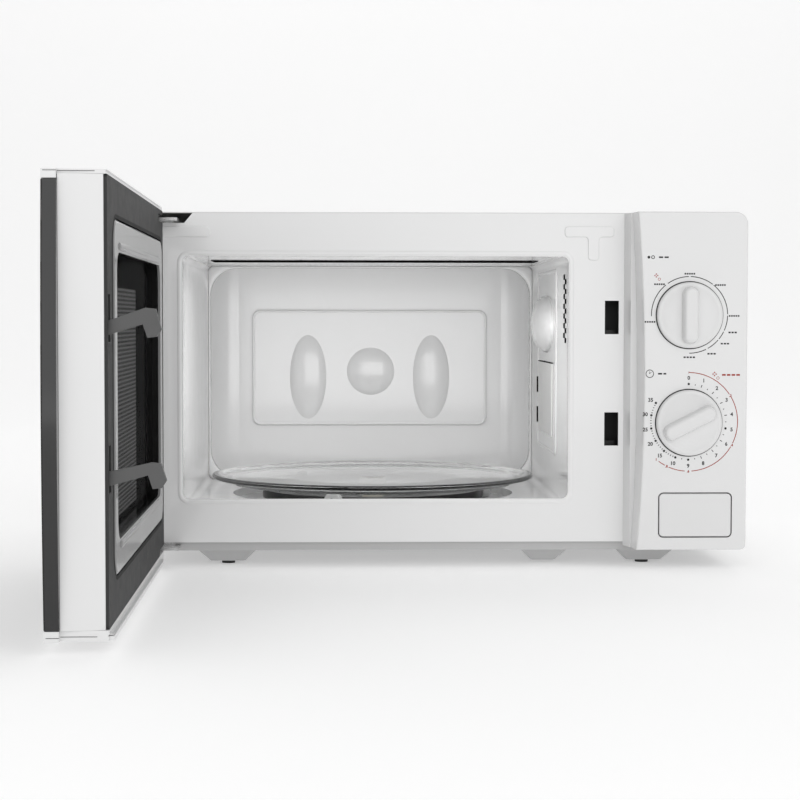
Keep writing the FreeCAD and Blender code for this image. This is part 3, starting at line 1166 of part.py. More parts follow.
def corner_wedges(x, z, radius, y):
    """What a rectangle loses where its four corners are rounded."""
    wedges = []
    for i, (corner_x, sign_x) in enumerate(((x[0], "+"), (x[1], "-"))):
        for j, (corner_z, sign_z) in enumerate(((z[0], "+"), (z[1], "-"))):
            centre_x = f"{corner_x} {sign_x} {radius}"
            centre_z = f"{corner_z} {sign_z} {radius}"
            span_x = (corner_x, centre_x) if sign_x == "+" else (centre_x, corner_x)
            span_z = (corner_z, centre_z) if sign_z == "+" else (centre_z, corner_z)
            block = box(f"wedge_{i}{j}", span_x, y, span_z)
            round_part = rod(f"wedge_rod_{i}{j}", "y", radius, centre_x, y, centre_z)
            wedges.append(cut(f"wedge_cut_{i}{j}", block, round_part))
    return wedges


def hook_outline(reach, lift):
    """Side view of one latch hook as (forward, up) corners, from its root at the door's face."""
    return [(-9, 2.5), (0, 2.3), (reach - 10, 8), (reach - 7.5, 0.6), (reach - 2.5, 1.2), (reach, 5),
            (reach - 3, lift), (reach - 8.5, lift + 0.6), (0, 10), (-9, 10)]


def make_latch():
    """Latch bar inside the door's free edge with two hooks, and the spring that draws it down."""
    plates = []
    face = SIZES["door_inner"]
    for name, low, reach, lift in (("upper", SIZES["slot_low"], 28.0, 16.2),
                                   ("lower", SIZES["slot_low"] - SIZES["slot_drop"], 30.5, 14.2)):
        points = [Vector(124.0, face + u, low + v) for u, v in hook_outline(reach, lift)]
        side = Part.Face(Part.makePolygon(points + points[:1]))
        solid = side.extrude(Vector(4.6, 0, 0))
        plates.append(set_shape(f"hook_{name}", solid))
    bar = box("latch_spine", ("122.6", "129.4"), ("door_inner - 13.6", "door_inner - 9"), ("84", "192"))
    keep(fuse("latch", bar, *plates), "latch_hooks", DOOR_SWING)
    spring = coil(2.6, 0.45, 2.2, 12)
    spring.translate(Vector(126, face - 11.3, 56))
    post = Part.makeCylinder(3.2, 1.2, Vector(126, face - 11.3, 82.4))
    keep(set_shape("latch_coil", spring.fuse(post).removeSplitter()), "latch_spring", DOOR_SWING)


make_front_frame()
make_cavity()
make_grill()
make_cover()
make_rear()
make_base()
make_microwave_supply()
make_airflow()
make_controls_inside()
make_interlock()
make_panel()
make_dial("power_knob", "power_z", 0.0)
make_dial("timer_knob", "timer_z", TIMER_POINTER_DEG)
make_button()
make_turntable()
make_hinges()
make_door_front()
make_door_frame()
make_door_trims()
make_door_inside()
make_latch()
doc.recompute()

failed = [o.Name for o in doc.Objects if "Invalid" in o.State or "Error" in o.State]
if failed:
    raise RuntimeError(f"objects that did not build: {failed}")
os.makedirs("parts", exist_ok=True)
for node in nodes:
    if node.Shape.isNull() or not node.Shape.isValid():
        raise RuntimeError(f"{node.Label} has no valid shape")
for node in nodes:
    node.Shape.exportStep(os.path.join("parts", node.Label + ".step"))
print(len(nodes), "sub-parts written")
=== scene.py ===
"""Looks of a countertop microwave oven that stands with its side-hinged door open."""
import math

import bmesh
import bpy
import numpy as np
from bpy.props import FloatProperty, FloatVectorProperty, PointerProperty
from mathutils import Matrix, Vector


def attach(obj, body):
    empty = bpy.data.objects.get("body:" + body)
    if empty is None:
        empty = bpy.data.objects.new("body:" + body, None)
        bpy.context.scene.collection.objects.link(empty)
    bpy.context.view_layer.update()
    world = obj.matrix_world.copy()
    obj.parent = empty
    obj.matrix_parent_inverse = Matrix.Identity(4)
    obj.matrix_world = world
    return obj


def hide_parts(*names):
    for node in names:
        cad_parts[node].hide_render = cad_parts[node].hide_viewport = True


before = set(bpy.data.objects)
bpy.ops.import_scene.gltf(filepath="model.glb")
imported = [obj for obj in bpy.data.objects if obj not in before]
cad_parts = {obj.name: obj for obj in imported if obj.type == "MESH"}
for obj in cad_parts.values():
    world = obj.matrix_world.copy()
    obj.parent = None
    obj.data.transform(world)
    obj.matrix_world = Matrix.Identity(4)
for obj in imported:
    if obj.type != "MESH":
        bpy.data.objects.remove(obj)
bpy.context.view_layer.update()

bl_info = {
    "name": "Microwave oven looks",
    "version": (1, 0, 0),
    "blender": (4, 5, 0),
    "location": "3D View > Sidebar > Oven",
    "description": "Finishes, dials, print, glass plate and studio of a countertop microwave oven",
    "category": "Object",
}

MM = 0.001

# Places and sizes in mm, in the model's own frame. The dials' centres are X and Z.
PANEL_FRONT = -189.5
POWER_CENTRE = (178.0, 183.8)
TIMER_CENTRE = (178.0, 107.0)
TIMER_POINTER = 63.0
PRINT_GAP = 0.005
TURN_CENTRE = (-45.0, -14.4)
CAVITY_LEFT = -185.0
CAVITY_RIGHT = 95.0
MOUTH_LOW = 50.0
FLOOR = 42.0
CEILING = 226.3
MOUTH_RADIUS = 5.0
BACK_JOIN = 104.0
RAISED_PANEL = {"left": -148.0, "right": 57.0, "low": 88.0, "high": 188.5, "radius": 7.0}
RAISED_FACE = 128.0
WALL_PANEL = {"left": -82.0, "right": 50.0, "low": 77.0, "high": 218.0, "radius": 6.0}
INNER_PANEL = {"left": -203.4, "right": 105.4, "low": 37.6, "high": 236.4, "radius": 13.8}
SCREEN_PITCH = 2.6

# The door, with its thickness along Y while it is shut.
HINGE = (-211.4, -174.6)
OPEN_DEGREES = 89.4
DOOR_INNER = -161.2
WINDOW_DEPTH = 12.4

# Materials of the finishes that have been made, by their plain names.
FINISHES = {}


# ---------------------------------------------------------------- finishes
class Value:
    """A socket of a finish. Arithmetic on it adds Math nodes to that finish."""

    def __init__(self, finish, socket):
        self.finish = finish
        self.socket = socket

    def math(self, operation, *terms, clamp=False):
        """The result of a Math node on these terms."""
        return self.finish.node("ShaderNodeMath", {"operation": operation, "use_clamp": clamp},
                                dict(enumerate(terms)))

    def __add__(self, other):
        return self.math("ADD", self, other)

    __radd__ = __add__

    def __sub__(self, other):
        return self.math("SUBTRACT", self, other)

    def __rsub__(self, other):
        return self.math("SUBTRACT", other, self)

    def __mul__(self, other):
        return self.math("MULTIPLY", self, other)

    __rmul__ = __mul__

    def __lt__(self, other):
        return self.math("LESS_THAN", self, other)

    def __gt__(self, other):
        return self.math("GREATER_THAN", self, other)

    def wave(self):
        """Cosine of the value, from -1 to 1."""
        return self.math("COSINE", self)

    def between(self, low, high):
        """How far the value has gone from low to high, held between 0 and 1."""
        return self.math("MULTIPLY", self - low, 1.0 / (high - low), clamp=True)


class Finish:
    """A material and its node tree. Every node comes from node()."""

    def __init__(self, name):
        self.name = name
        self.material = bpy.data.materials.new(name)
        self.material.use_nodes = True
        self.tree = self.material.node_tree
        self.tree.nodes.clear()

    def node(self, kind, settings=None, inputs=None, output=0):
        """A node with its settings, then its inputs as numbers or links. Gives one of its outputs."""
        node = self.tree.nodes.new(kind)
        for key, setting in (settings or {}).items():
            setattr(node, key, setting)
        for key, source in (inputs or {}).items():
            if isinstance(source, Value):
                self.tree.links.new(source.socket, node.inputs[key])
            else:
                node.inputs[key].default_value = source
        return Value(self, node.outputs[output]) if node.outputs else None

    def place(self, stretch):
        """Object coordinates, scaled by a Mapping node."""
        coordinates = self.node("ShaderNodeTexCoord", output="Object")
        return self.node("ShaderNodeMapping", None, {"Vector": coordinates, "Scale": stretch})

    def axis(self, letter):
        """One object coordinate, in metres."""
        coordinates = self.node("ShaderNodeTexCoord", output="Object")
        return self.node("ShaderNodeSeparateXYZ", None, {0: coordinates}, output=letter)

    def noise(self, scale, detail=3.0, rough=0.5, stretch=(1, 1, 1)):
        """Noise from 0 to 1 on object coordinates, with scale in cells per metre."""
        inputs = {"Vector": self.place(stretch), "Scale": scale, "Detail": detail, "Roughness": rough}
        return self.node("ShaderNodeTexNoise", None, inputs)

    def crystals(self, scale):
        """A random level from 0 to 1 for each Voronoi cell, with scale in cells per metre."""
        inputs = {"Vector": self.place((1, 1, 1)), "Scale": scale}
        colour = self.node("ShaderNodeTexVoronoi", None, inputs, output="Color")
        return self.node("ShaderNodeSeparateColor", None, {0: colour})

    def mix(self, factor, first, second):
        """Colour that goes from first to second as the factor goes from 0 to 1."""
        return self.node("ShaderNodeMix", {"data_type": "RGBA"}, {0: factor, 6: first, 7: second}, output=2)

    def bump(self, height, depth):
        """A Bump node whose full height stands for the depth in mm."""
        return self.node("ShaderNodeBump", None, {"Height": height, "Strength": 1.0, "Distance": depth * MM})

    def surface(self, base, roughness, normal=None, **constants):
        """A Principled shader on the output. Constants go straight onto its sockets. The finished material
        is kept under its name."""
        inputs = {"Base Color": base, "Roughness": roughness}
        inputs.update({name.replace("_", " "): number for name, number in constants.items()})
        if normal is not None:
            inputs["Normal"] = normal
        shader = self.node("ShaderNodeBsdfPrincipled", None, inputs)
        self.node("ShaderNodeOutputMaterial", None, {"Surface": shader})
        FINISHES[self.name] = self.material
        return self.material


def shade(level):
    """A neutral colour of that linear level, or the colour itself."""
    return (level, level, level, 1.0) if isinstance(level, float) else (*level, 1.0)


def row_wave(coordinate, pitch):
    """Cosine wave from -1 to 1 along a coordinate, with one crest every pitch mm."""
    return (coordinate * (2 * math.pi / (pitch * MM))).wave()


def soft_coat(name, light, dark, gloss, patch=14.0, grain=700.0, depth=0.02, stretch=(1, 1, 1),
              **constants):
    """Paint, plastic or metal: its colour drifts from dark to light over soft patches, its roughness runs
    between the two gloss numbers with a finer noise, and a fine grain lifts the surface by depth mm."""
    finish = Finish(name)
    drift = finish.noise(patch, 4.0, 0.55, stretch)
    fine = finish.noise(patch * 9, 3.0, 0.6, stretch)
    colour = finish.mix(drift.between(0.1, 0.9), shade(dark), shade(light))
    roughness = gloss[0] + (gloss[1] - gloss[0]) * fine.between(0.05, 0.95)
    height = finish.noise(grain, 2.0, 0.5, stretch)
    return finish.surface(colour, roughness, finish.bump(height, depth), **constants)


def spangled(name, light, dark):
    """Galvanised sheet: flat crystals of slightly different greys, each with its own gloss."""
    finish = Finish(name)
    level = finish.crystals(170.0)
    colour = finish.mix(level, shade(dark), shade(light))
    scratch = finish.noise(60.0, 5.0, 0.7, (1, 14, 14))
    return finish.surface(colour, 0.34 + 0.06 * level, finish.bump(scratch, 0.008), Metallic=0.85)


def drilled_sheet(name):
    """Black door screen: a field of small round holes in straight rows, between 60 and 200 mm up, shows as
    dark holes in a greyer land; that grey is a painted sheen, as the sheet has no specular reflection. Round
    the field the sheet is plain black."""
    finish = Finish(name)
    y = finish.axis("Y")
    z = finish.axis("Z")
    along = row_wave(y, SCREEN_PITCH).between(-1.0, 1.0)
    up = row_wave(z, SCREEN_PITCH).between(-1.0, 1.0)
    hole = (along * up).between(0.1, 0.5)
    field = (z > 0.060) * (z < 0.200) * (y > -0.440) * (y < -0.262)
    # Painted sheen: the land between the holes is grey inside the field, while the sheet round it stays
    # black.
    sheen_land = finish.mix(hole, shade(0.13), shade(0.008))
    colour = finish.mix(field, shade(0.006), sheen_land)
    return finish.surface(colour, 0.5 + 0.1 * hole, finish.bump(field * (1 - hole), 0.1),
                          Specular_IOR_Level=0.0)


def windowed_glass(name):
    """Black glass of the door's front: a glossy printed border, and a window field that is darker and has
    the screen's fine rows behind it. The field's edge lies between 57 and 218 mm up."""
    finish = Finish(name)
    y = finish.axis("Y")
    z = finish.axis("Z")
    field = (z > 0.057) * (z < 0.218) * (y > -0.478) * (y < -0.200)
    rows = row_wave(z, SCREEN_PITCH) * row_wave(y, SCREEN_PITCH)
    screen = finish.mix(rows.between(0.0, 0.5), shade(0.010), shade(0.003))
    colour = finish.mix(field, shade(0.018), screen)
    fine = finish.noise(40.0)
    return finish.surface(colour, 0.05 + 0.04 * fine, finish.bump(finish.noise(300.0), 0.003),
                          Specular_IOR_Level=0.5)


def door_lining(name, level):
    """Grey enamel of the door's inner panel. It turns black where the panel drops into the window: the
    distance from the hinge's plane is measured square to the door as it stands open."""
    finish = Finish(name)
    x = finish.axis("X")
    y = finish.axis("Y")
    angle = math.radians(OPEN_DEGREES)
    depth = (x - HINGE[0] * MM) * math.sin(angle) + (y - HINGE[1] * MM) * math.cos(angle)
    drift = finish.noise(14.0, 4.0, 0.55)
    enamel = finish.mix(drift.between(0.1, 0.9), shade(level * 0.94), shade(level))
    colour = finish.mix(depth < WINDOW_DEPTH * MM, enamel, shade(0.008))
    fine = finish.noise(126.0, 3.0, 0.6)
    return finish.surface(colour, 0.1 + 0.08 * fine, finish.bump(finish.noise(300.0), 0.03),
                          Specular_IOR_Level=0.35)


def wound(name):
    """Enamelled winding wire: close turns that run round the coil, one every 0.9 mm along X."""
    finish = Finish(name)
    turn = row_wave(finish.axis("X"), 0.9)
    drift = finish.noise(40.0)
    colour = finish.mix(drift.between(0.3, 0.7), (0.30, 0.07, 0.02, 1), (0.55, 0.18, 0.05, 1))
    return finish.surface(colour, 0.28 + 0.1 * drift, finish.bump(turn, 0.2), Metallic=0.7)


def laminated(name, level):
    """Stacked steel laminations: fine layers across the core, with a brownish varnish in patches."""
    finish = Finish(name)
    layer = row_wave(finish.axis("Y"), 1.0)
    patch = finish.noise(30.0, 4.0, 0.6)
    varnish = shade((level * 0.8, level * 0.62, level * 0.45))
    colour = finish.mix(patch.between(0.4, 0.65), shade(level), varnish)
    return finish.surface(colour, 0.4 + 0.15 * patch, finish.bump(layer, 0.12), Metallic=0.6)


def clear(name, tint, gloss, ior):
    """Clear glass: light goes through, and a faint uneven polish shows in the roughness."""
    finish = Finish(name)
    fine = finish.noise(90.0, 3.0)
    colour = finish.mix(fine.between(0.3, 0.7), shade(tint), shade(tuple(0.985 * part for part in tint)))
    return finish.surface(colour, gloss * (0.6 + 0.8 * fine), finish.bump(fine, 0.02), IOR=ior,
                          Transmission_Weight=1.0)


def make_finishes(look):
    """Makes every finish of the oven."""
    white = look.white_level
    soft_coat("front_enamel", white * 1.08, white * 1.07, (0.1, 0.13), patch=6.0,
              depth=0.008, grain=300.0, Coat_Weight=0.4, Coat_Roughness=0.05)
    soft_coat("cavity_enamel", look.cavity_level, look.cavity_level * 0.985,
              (0.14, 0.18), patch=6.0, depth=0.008, grain=220.0, Coat_Weight=0.5,
              Coat_Roughness=0.08)
    soft_coat("cover_paint", white * 0.99, white * 0.975, (0.36, 0.42), grain=1500.0,
              depth=0.05)
    soft_coat("base_paint", 0.5, 0.48, (0.3, 0.36), patch=6.0, grain=900.0, depth=0.01)
    soft_coat("panel_plastic", white, white * 0.992, (0.15, 0.18), patch=6.0,
              depth=0.004, grain=900.0, Coat_Weight=0.2, Coat_Roughness=0.08)
    soft_coat("knob_plastic", white * 0.97, white * 0.965, (0.22, 0.25), patch=6.0,
              depth=0.004, grain=1200.0)
    soft_coat("door_plastic", white * 0.985, white * 0.975, (0.28, 0.32), patch=6.0,
              depth=0.004, grain=1000.0)
    spangled("spangled_steel", 0.60, 0.53)
    soft_coat("plated_steel", 0.66, 0.5, (0.2, 0.36), patch=60.0, Metallic=1.0,
              stretch=(1, 1, 6))
    soft_coat("black_rubber", 0.03, 0.018, (0.6, 0.8), grain=1500.0, depth=0.08)
    soft_coat("quartz_tube", 0.72, 0.6, (0.2, 0.35), patch=80.0, Coat_Weight=0.8)
    soft_coat("mica_board", (0.84, 0.84, 0.83), (0.80, 0.80, 0.79), (0.3, 0.45),
              patch=90.0)
    soft_coat("lacquered_steel", 0.32, 0.2, (0.3, 0.5), patch=40.0, Metallic=0.8)
    # Painted shade: the heater's reflector is near black so that the slots of the roof's guard read dark.
    soft_coat("reflector_shade_black", 0.03, 0.015, (0.5, 0.7), patch=30.0, Metallic=0.3)
    soft_coat("bare_aluminium", 0.74, 0.6, (0.22, 0.4), patch=50.0, Metallic=1.0,
              stretch=(1, 8, 1))
    wound("winding_wire")
    laminated("laminations", 0.3)
    soft_coat("inner_plastic", (0.66, 0.64, 0.58), (0.58, 0.56, 0.5), (0.45, 0.6),
              grain=1100.0, depth=0.05)
    soft_coat("black_plastic", 0.022, 0.012, (0.35, 0.5), grain=1300.0, depth=0.04)
    soft_coat("board_green", (0.10, 0.25, 0.10), (0.05, 0.16, 0.07), (0.3, 0.5),
              patch=60.0)
    clear("lamp_glass", (0.98, 0.96, 0.9), 0.12, 1.45)
    windowed_glass("front_glass")
    soft_coat("choke_plastic", look.choke_level, look.choke_level * 0.8, (0.5, 0.66),
              grain=1700.0, depth=0.12, Specular_IOR_Level=0.15)
    soft_coat("hook_plastic", 0.11, 0.085, (0.35, 0.5), grain=1300.0, depth=0.03,
              Specular_IOR_Level=0.3)
    soft_coat("roller_black", 0.02, 0.014, (0.25, 0.4), grain=1300.0, depth=0.03)
    door_lining("door_enamel", look.door_level)
    drilled_sheet("screen_black")
    soft_coat("clear_film", 0.01, 0.008, (0.04, 0.08), depth=0.003, Alpha=0.04,
              Specular_IOR_Level=0.12, IOR=1.12)
    clear("plate_glass", (0.985, 0.992, 0.99), 0.012, 1.4)
    soft_coat("print_dark", 0.02, 0.015, (0.5, 0.6), grain=2000.0, depth=0.005,
              Specular_IOR_Level=0.2)
    soft_coat("print_red", (0.36, 0.04, 0.02), (0.31, 0.035, 0.018), (0.5, 0.6),
              grain=2000.0, depth=0.005, Specular_IOR_Level=0.2)
    # Painted shade: near-black finish for plates that stand in for the shade inside openings.
    soft_coat("painted_opening_shade", 0.005, 0.003, (0.6, 0.8), grain=1500.0, Specular_IOR_Level=0.0)
    # Painted shade: near-black finish for narrow gaps and grooves.
    soft_coat("painted_gap_shade", 0.03, 0.02, (0.6, 0.8), grain=1500.0, Specular_IOR_Level=0.1)


NODE_FINISHES = {
    "front_enamel": ["cavity_front_frame"],
    "cavity_enamel": ["cavity_liner", "cavity_back", "grill_guard"],
    "cover_paint": ["outer_cover"],
    "panel_plastic": ["control_panel"],
    "knob_plastic": ["power_knob", "timer_knob", "open_button", "roller_wheel_1", "roller_wheel_2",
                     "roller_wheel_3"],
    "door_plastic": ["door_frame", "door_trims"],
    "base_paint": ["base_plate"],
    "spangled_steel": ["rear_panel", "waveguide", "capacitor_clamp", "lamp_holder"],
    "plated_steel": ["cover_screws", "hinge_brackets", "hinge_pins", "power_shaft", "timer_shaft",
                     "lever_spring", "latch_spring"],
    "black_rubber": ["rubber_feet", "cord_gland"],
    "quartz_tube": ["heater_elements"],
    "mica_board": ["waveguide_cover"],
    "lacquered_steel": ["magnetron_housing", "thermal_cutout", "turntable_motor", "fan_motor"],
    "bare_aluminium": ["magnetron_fins", "hv_capacitor"],
    "winding_wire": ["transformer_windings"],
    "laminations": ["transformer_core"],
    "inner_plastic": ["fan_shroud", "power_selector", "timer_body", "release_lever",
                      "fan_blade", "turntable_coupler"],
    # The air duct is black only so that the right wall's slots read dark: painted shade.
    "black_plastic": ["hv_diode", "interlock_switches", "interlock_bracket", "air_duct"],
    "reflector_shade_black": ["heater_reflector"],
    "board_green": ["filter_board"],
    "lamp_glass": ["oven_lamp"],
    "front_glass": ["door_front"],
    "choke_plastic": ["choke_cover"],
    "hook_plastic": ["latch_hooks"],
    "roller_black": ["roller_ring"],
    "door_enamel": ["door_inner_panel"],
    "screen_black": ["door_screen"],
    "clear_film": ["door_film"],
    "plate_glass": ["glass_plate"],
}


# ---------------------------------------------------------------- shapes
def grid_faces(rows, columns, start=0, wrap=False):
    """Four-sided faces of a grid of rows by columns of points. With wrap, the last column meets the first."""
    index = np.arange(rows * columns).reshape(rows, columns) + start
    if wrap:
        index = np.hstack([index, index[:, :1]])
    corners = [index[:-1, :-1], index[1:, :-1], index[1:, 1:], index[:-1, 1:]]
    return np.stack(corners, axis=-1).reshape(-1, 4)


def make_piece(name, points, faces, material, body, smooth=True, closed=True):
    """Object at the origin, from points in mm and faces. Doubles are merged, and a closed one faces out."""
    mesh = bpy.data.meshes.new(name)
    mesh.from_pydata((np.asarray(points) * MM).tolist(), [], np.asarray(faces).tolist())
    work = bmesh.new()
    work.from_mesh(mesh)
    bmesh.ops.remove_doubles(work, verts=work.verts, dist=0.00001)
    if closed:
        bmesh.ops.recalc_face_normals(work, faces=work.faces)
    work.to_mesh(mesh)
    work.free()
    mesh.polygons.foreach_set("use_smooth", np.full(len(mesh.polygons), smooth))
    mesh.update()
    piece = bpy.data.objects.new(name, mesh)
    bpy.context.scene.collection.objects.link(piece)
    piece.data.materials.append(material)
    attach(piece, body)
    return piece


def sharpen(piece, degrees=35.0):
    """Marks edges steeper than the angle sharp, so that soft shading stops there."""
    work = bmesh.new()
    work.from_mesh(piece.data)
    limit = math.radians(degrees)
    for edge in work.edges:
        edge.smooth = len(edge.link_faces) != 2 or edge.calc_face_angle(0.0) < limit
    work.to_mesh(piece.data)
    work.free()


def turned_points(profile, centre, steps):
    """Points of a profile of (radius, height) turned once round an upright axis through centre."""
    angle = np.linspace(0, 2 * np.pi, steps, endpoint=False)
    radius, height = np.array(profile).T
    x = centre[0] + radius[:, None] * np.cos(angle)
    y = centre[1] + radius[:, None] * np.sin(angle)
    z = np.broadcast_to(height[:, None], x.shape)
    return np.stack([x, y, z], axis=-1)


def rounded_outline(half_x, half_z, radius, steps):
    """Closed outline of a rounded rectangle, with steps points on the quarter circle of each corner."""
    quarter = np.linspace(0, np.pi / 2, steps)
    corners = []
    for turn, (sx, sz) in enumerate(((1, 1), (-1, 1), (-1, -1), (1, -1))):
        angle = quarter + turn * np.pi / 2
        corners.append(np.stack([sx * (half_x - radius) + radius * np.cos(angle),
                                 sz * (half_z - radius) + radius * np.sin(angle)], axis=-1))
    return np.concatenate(corners)


def smooth_rows(profile, steps):
    """A Catmull-Rom line through the profile's points, steps points to each stretch."""
    points = np.array(profile, float)
    padded = np.vstack([2 * points[0] - points[1], points, 2 * points[-1] - points[-2]])
    t = np.linspace(0, 1, steps, endpoint=False)[:, None]
    rows = []
    for k in range(len(points) - 1):
        a, b, c, d = padded[k:k + 4]
        rows.append(0.5 * (2 * b + (c - a) * t + (2 * a - 5 * b + 4 * c - d) * t ** 2
                           + (3 * b - a - 3 * c + d) * t ** 3))
    return np.vstack(rows + [points[-1:]])


def upright_row(left, right, low, high, radius, outside, y, steps):
    """Points in space of a rounded rectangle that stands upright at Y = y and is larger by outside."""
    outline = rounded_outline((right - left) / 2 + outside, (high - low) / 2 + outside, radius + outside,
                              steps)
    return np.stack([outline[:, 0] + (left + right) / 2, np.full(len(outline), y),
                     outline[:, 1] + (low + high) / 2], axis=-1)


def ring_points(left, right, low, high, radius, profile, steps=10):
    """Points of a profile carried round a rounded rectangle that lies upright. Each profile point is how far
    it stands outside the rectangle and its own Y. The outline grows and its corners widen by that much."""
    rows = [upright_row(left, right, low, high, radius, outside, y, steps) for outside, y in profile]
    return np.array(rows + rows[:1])


def make_ring(name, points, finish, body):
    """A piece from the closed rows of a ring."""
    return make_piece(name, points.reshape(-1, 3), grid_faces(*points.shape[:2], wrap=True),
                      FINISHES[finish], body)


def slab(x, y, z):
    """Eight corners of an upright slab between two numbers along each axis."""
    return np.array([(a, b, c) for c in z for b in y for a in x])


def slab_faces(start):
    """The six faces of a slab whose first corner has that number."""
    corners = np.array([(0, 2, 3, 1), (4, 5, 7, 6), (0, 1, 5, 4), (2, 6, 7, 3), (0, 4, 6, 2), (1, 3, 7, 5)])
    return corners + start


def ridge_points(left, right, z, half_width, y, rise):
    """A rounded ridge along X on the plane Y = y: across it the height is a half ellipse. Over the last
    half width at both ends, width and height shrink as the chord of a circle, so the ends are round."""
    end = half_width * (1 - np.cos(np.linspace(0, np.pi / 2, 8)))
    x = np.concatenate([left + end, right - end[::-1]])
    past_end = np.maximum(left + half_width - x, x - right + half_width).clip(0) / half_width
    chord = np.sqrt(np.clip(1 - past_end ** 2, 0, 1))
    across = np.linspace(0, np.pi, 13)
    points = np.zeros((len(x), len(across) * 2 - 2, 3))
    around_it = np.concatenate([across, across[1:-1][::-1]])
    height = np.concatenate([np.sin(across), -0.3 * np.ones(len(across) - 2)])
    points[..., 0] = x[:, None]
    points[..., 1] = y - rise * chord[:, None] * height
    points[..., 2] = z + half_width * chord[:, None] * np.cos(around_it)
    return points


def door_open(points):
    """Points of the shut door turned with it about the hinge line to where it stands open."""
    turn = math.radians(-OPEN_DEGREES)
    x = points[..., 0] - HINGE[0]
    y = points[..., 1] - HINGE[1]
    moved = points.copy()
    moved[..., 0] = HINGE[0] + x * math.cos(turn) - y * math.sin(turn)
    moved[..., 1] = HINGE[1] + x * math.sin(turn) + y * math.cos(turn)
    return moved


# ---------------------------------------------------------------- settings
class OvenLook(bpy.types.PropertyGroup):
    """Levels of the oven's colours."""

    white_level: FloatProperty(name="White", description="Linear level of the white parts", default=0.77,
                               min=0.0, max=1.0)
    cavity_level: FloatProperty(name="Cavity", description="Linear level of the cooking space",
                                default=0.88, min=0.0, max=1.0)
    choke_level: FloatProperty(name="Choke cover", description="Linear level of the dark ring of the door",
                               default=0.045, min=0.0, max=1.0)
    door_level: FloatProperty(name="Door inside", description="Linear level of the door's painted inside",
                              default=0.26, min=0.0, max=1.0)


class OvenSizes(bpy.types.PropertyGroup):
    """Sizes of the dials and the print."""

    dial_radius: FloatProperty(name="Dial radius", description="Radius of each dial, in mm", default=23.5)
    dial_height: FloatProperty(name="Dial height", description="Height of a dial's disc, in mm",
                               default=4.0)
    grip_width: FloatProperty(name="Grip width", description="Width of a dial's grip, in mm", default=11.3)
    grip_length: FloatProperty(name="Grip length", description="Length of a dial's grip, in mm",
                               default=40.3)
    print_width: FloatProperty(name="Print width", description="Width of the printed arcs, in mm",
                               default=0.58)
    print_lift: FloatProperty(name="Print lift", description="Thickness of the print, in mm", default=0.04)


class StudioSettings(bpy.types.PropertyGroup):
    """Camera and lights."""

    lens: FloatProperty(name="Lens", description="Focal length in mm", default=84.9)
    camera_place: FloatVectorProperty(name="Camera", description="Place of the camera",
                                      subtype="TRANSLATION", unit="LENGTH",
                                      default=(-0.0695, -1.5293, 0.1809))
    camera_turn: FloatVectorProperty(name="Camera turn", description="Pitch, roll and heading in degrees",
                                     default=(-2.46, -0.06, -1.75))
    floor_level: FloatProperty(name="Floor", description="Linear level of the floor and the backdrop",
                               default=0.86, min=0.0, max=1.0)
    floor_glow: FloatProperty(name="Floor glow", description="Even light given off by floor and backdrop",
                              default=0.28, min=0.0)
    world_strength: FloatProperty(name="World", description="Strength of the even light all round",
                                  default=0.5)


def look():
    """The scene's settings for the levels of the colours."""
    return bpy.context.scene.oven_look


def sizes():
    """The scene's settings for the sizes of the dials and the print."""
    return bpy.context.scene.oven_sizes


# ---------------------------------------------------------------- operators
class OVEN_OT_finishes(bpy.types.Operator):
    """Makes every finish and puts one on each part of the oven."""

    bl_idname = "oven.finishes"
    bl_label = "Finishes"

    def execute(self, context):
        make_finishes(look())
        for finish, names in NODE_FINISHES.items():
            for name in names:
                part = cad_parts[name]
                part.data.materials.clear()
                part.data.materials.append(FINISHES[finish])
        bare = set(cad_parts) - {name for names in NODE_FINISHES.values() for name in names}
        if bare:
            raise RuntimeError(f"no finish for {sorted(bare)}")
        return {"FINISHED"}


def dial_shape(centre, pointer_deg):
    """Points and faces of a dial. The disc is a profile of inset and height carried round a circle, with a
    soft rim. The grip is a rounded bar whose outline shrinks towards its top: each row is the outline less
    an inset, at its own height, so that its sides lean and its top edge is round."""
    size = sizes()
    low = 0.6
    edge = size.dial_radius
    top = size.dial_height
    profile = [(0.01, -low), (edge, -low), (edge, top - 1.3), (edge - 0.35, top - 0.45), (edge - 1.2, top),
               (edge - 3.2, top + 0.02), (edge - 3.8, top - 0.25), (edge * 0.5, top - 0.3), (0.01, top - 0.3)]
    steps = 128
    angle = np.linspace(0, 2 * np.pi, steps, endpoint=False)
    radius, height = np.array(profile).T
    depth = np.broadcast_to(-height[:, None], (len(profile), steps))
    disc = np.stack([radius[:, None] * np.cos(angle), depth, radius[:, None] * np.sin(angle)], axis=-1)
    levels = [(0.0, -0.9), (3.0, -0.5), (6.0, 0.0), (8.2, 0.55), (9.2, 1.15), (9.75, 2.0), (9.97, 3.0),
              (10.0, 4.2), (10.0, 5.2)]
    rows = []
    for level, inset in smooth_rows(levels, 4):
        half_x = size.grip_width / 2 - inset
        half_z = size.grip_length / 2 - inset * 0.85
        outline = rounded_outline(half_x, half_z, half_x * 0.97, 9)
        rows.append(np.stack([outline[:, 0], np.full(len(outline), -level), outline[:, 1]], axis=-1))
    grip = np.array(rows)
    heart = grip[-1:].copy()
    heart[..., 0] = 0.0
    grip = np.concatenate([grip, heart])
    points = np.vstack([disc.reshape(-1, 3), grip.reshape(-1, 3)])
    faces = np.vstack([grid_faces(disc.shape[0], steps, wrap=True),
                       grid_faces(grip.shape[0], grip.shape[1], disc.shape[0] * steps, wrap=True)])
    turn = math.radians(pointer_deg)
    x = points[:, 0] * math.cos(turn) + points[:, 2] * math.sin(turn)
    z = points[:, 2] * math.cos(turn) - points[:, 0] * math.sin(turn)
    return np.stack([x + centre[0], points[:, 1] + PANEL_FRONT, z + centre[1]], axis=-1), faces


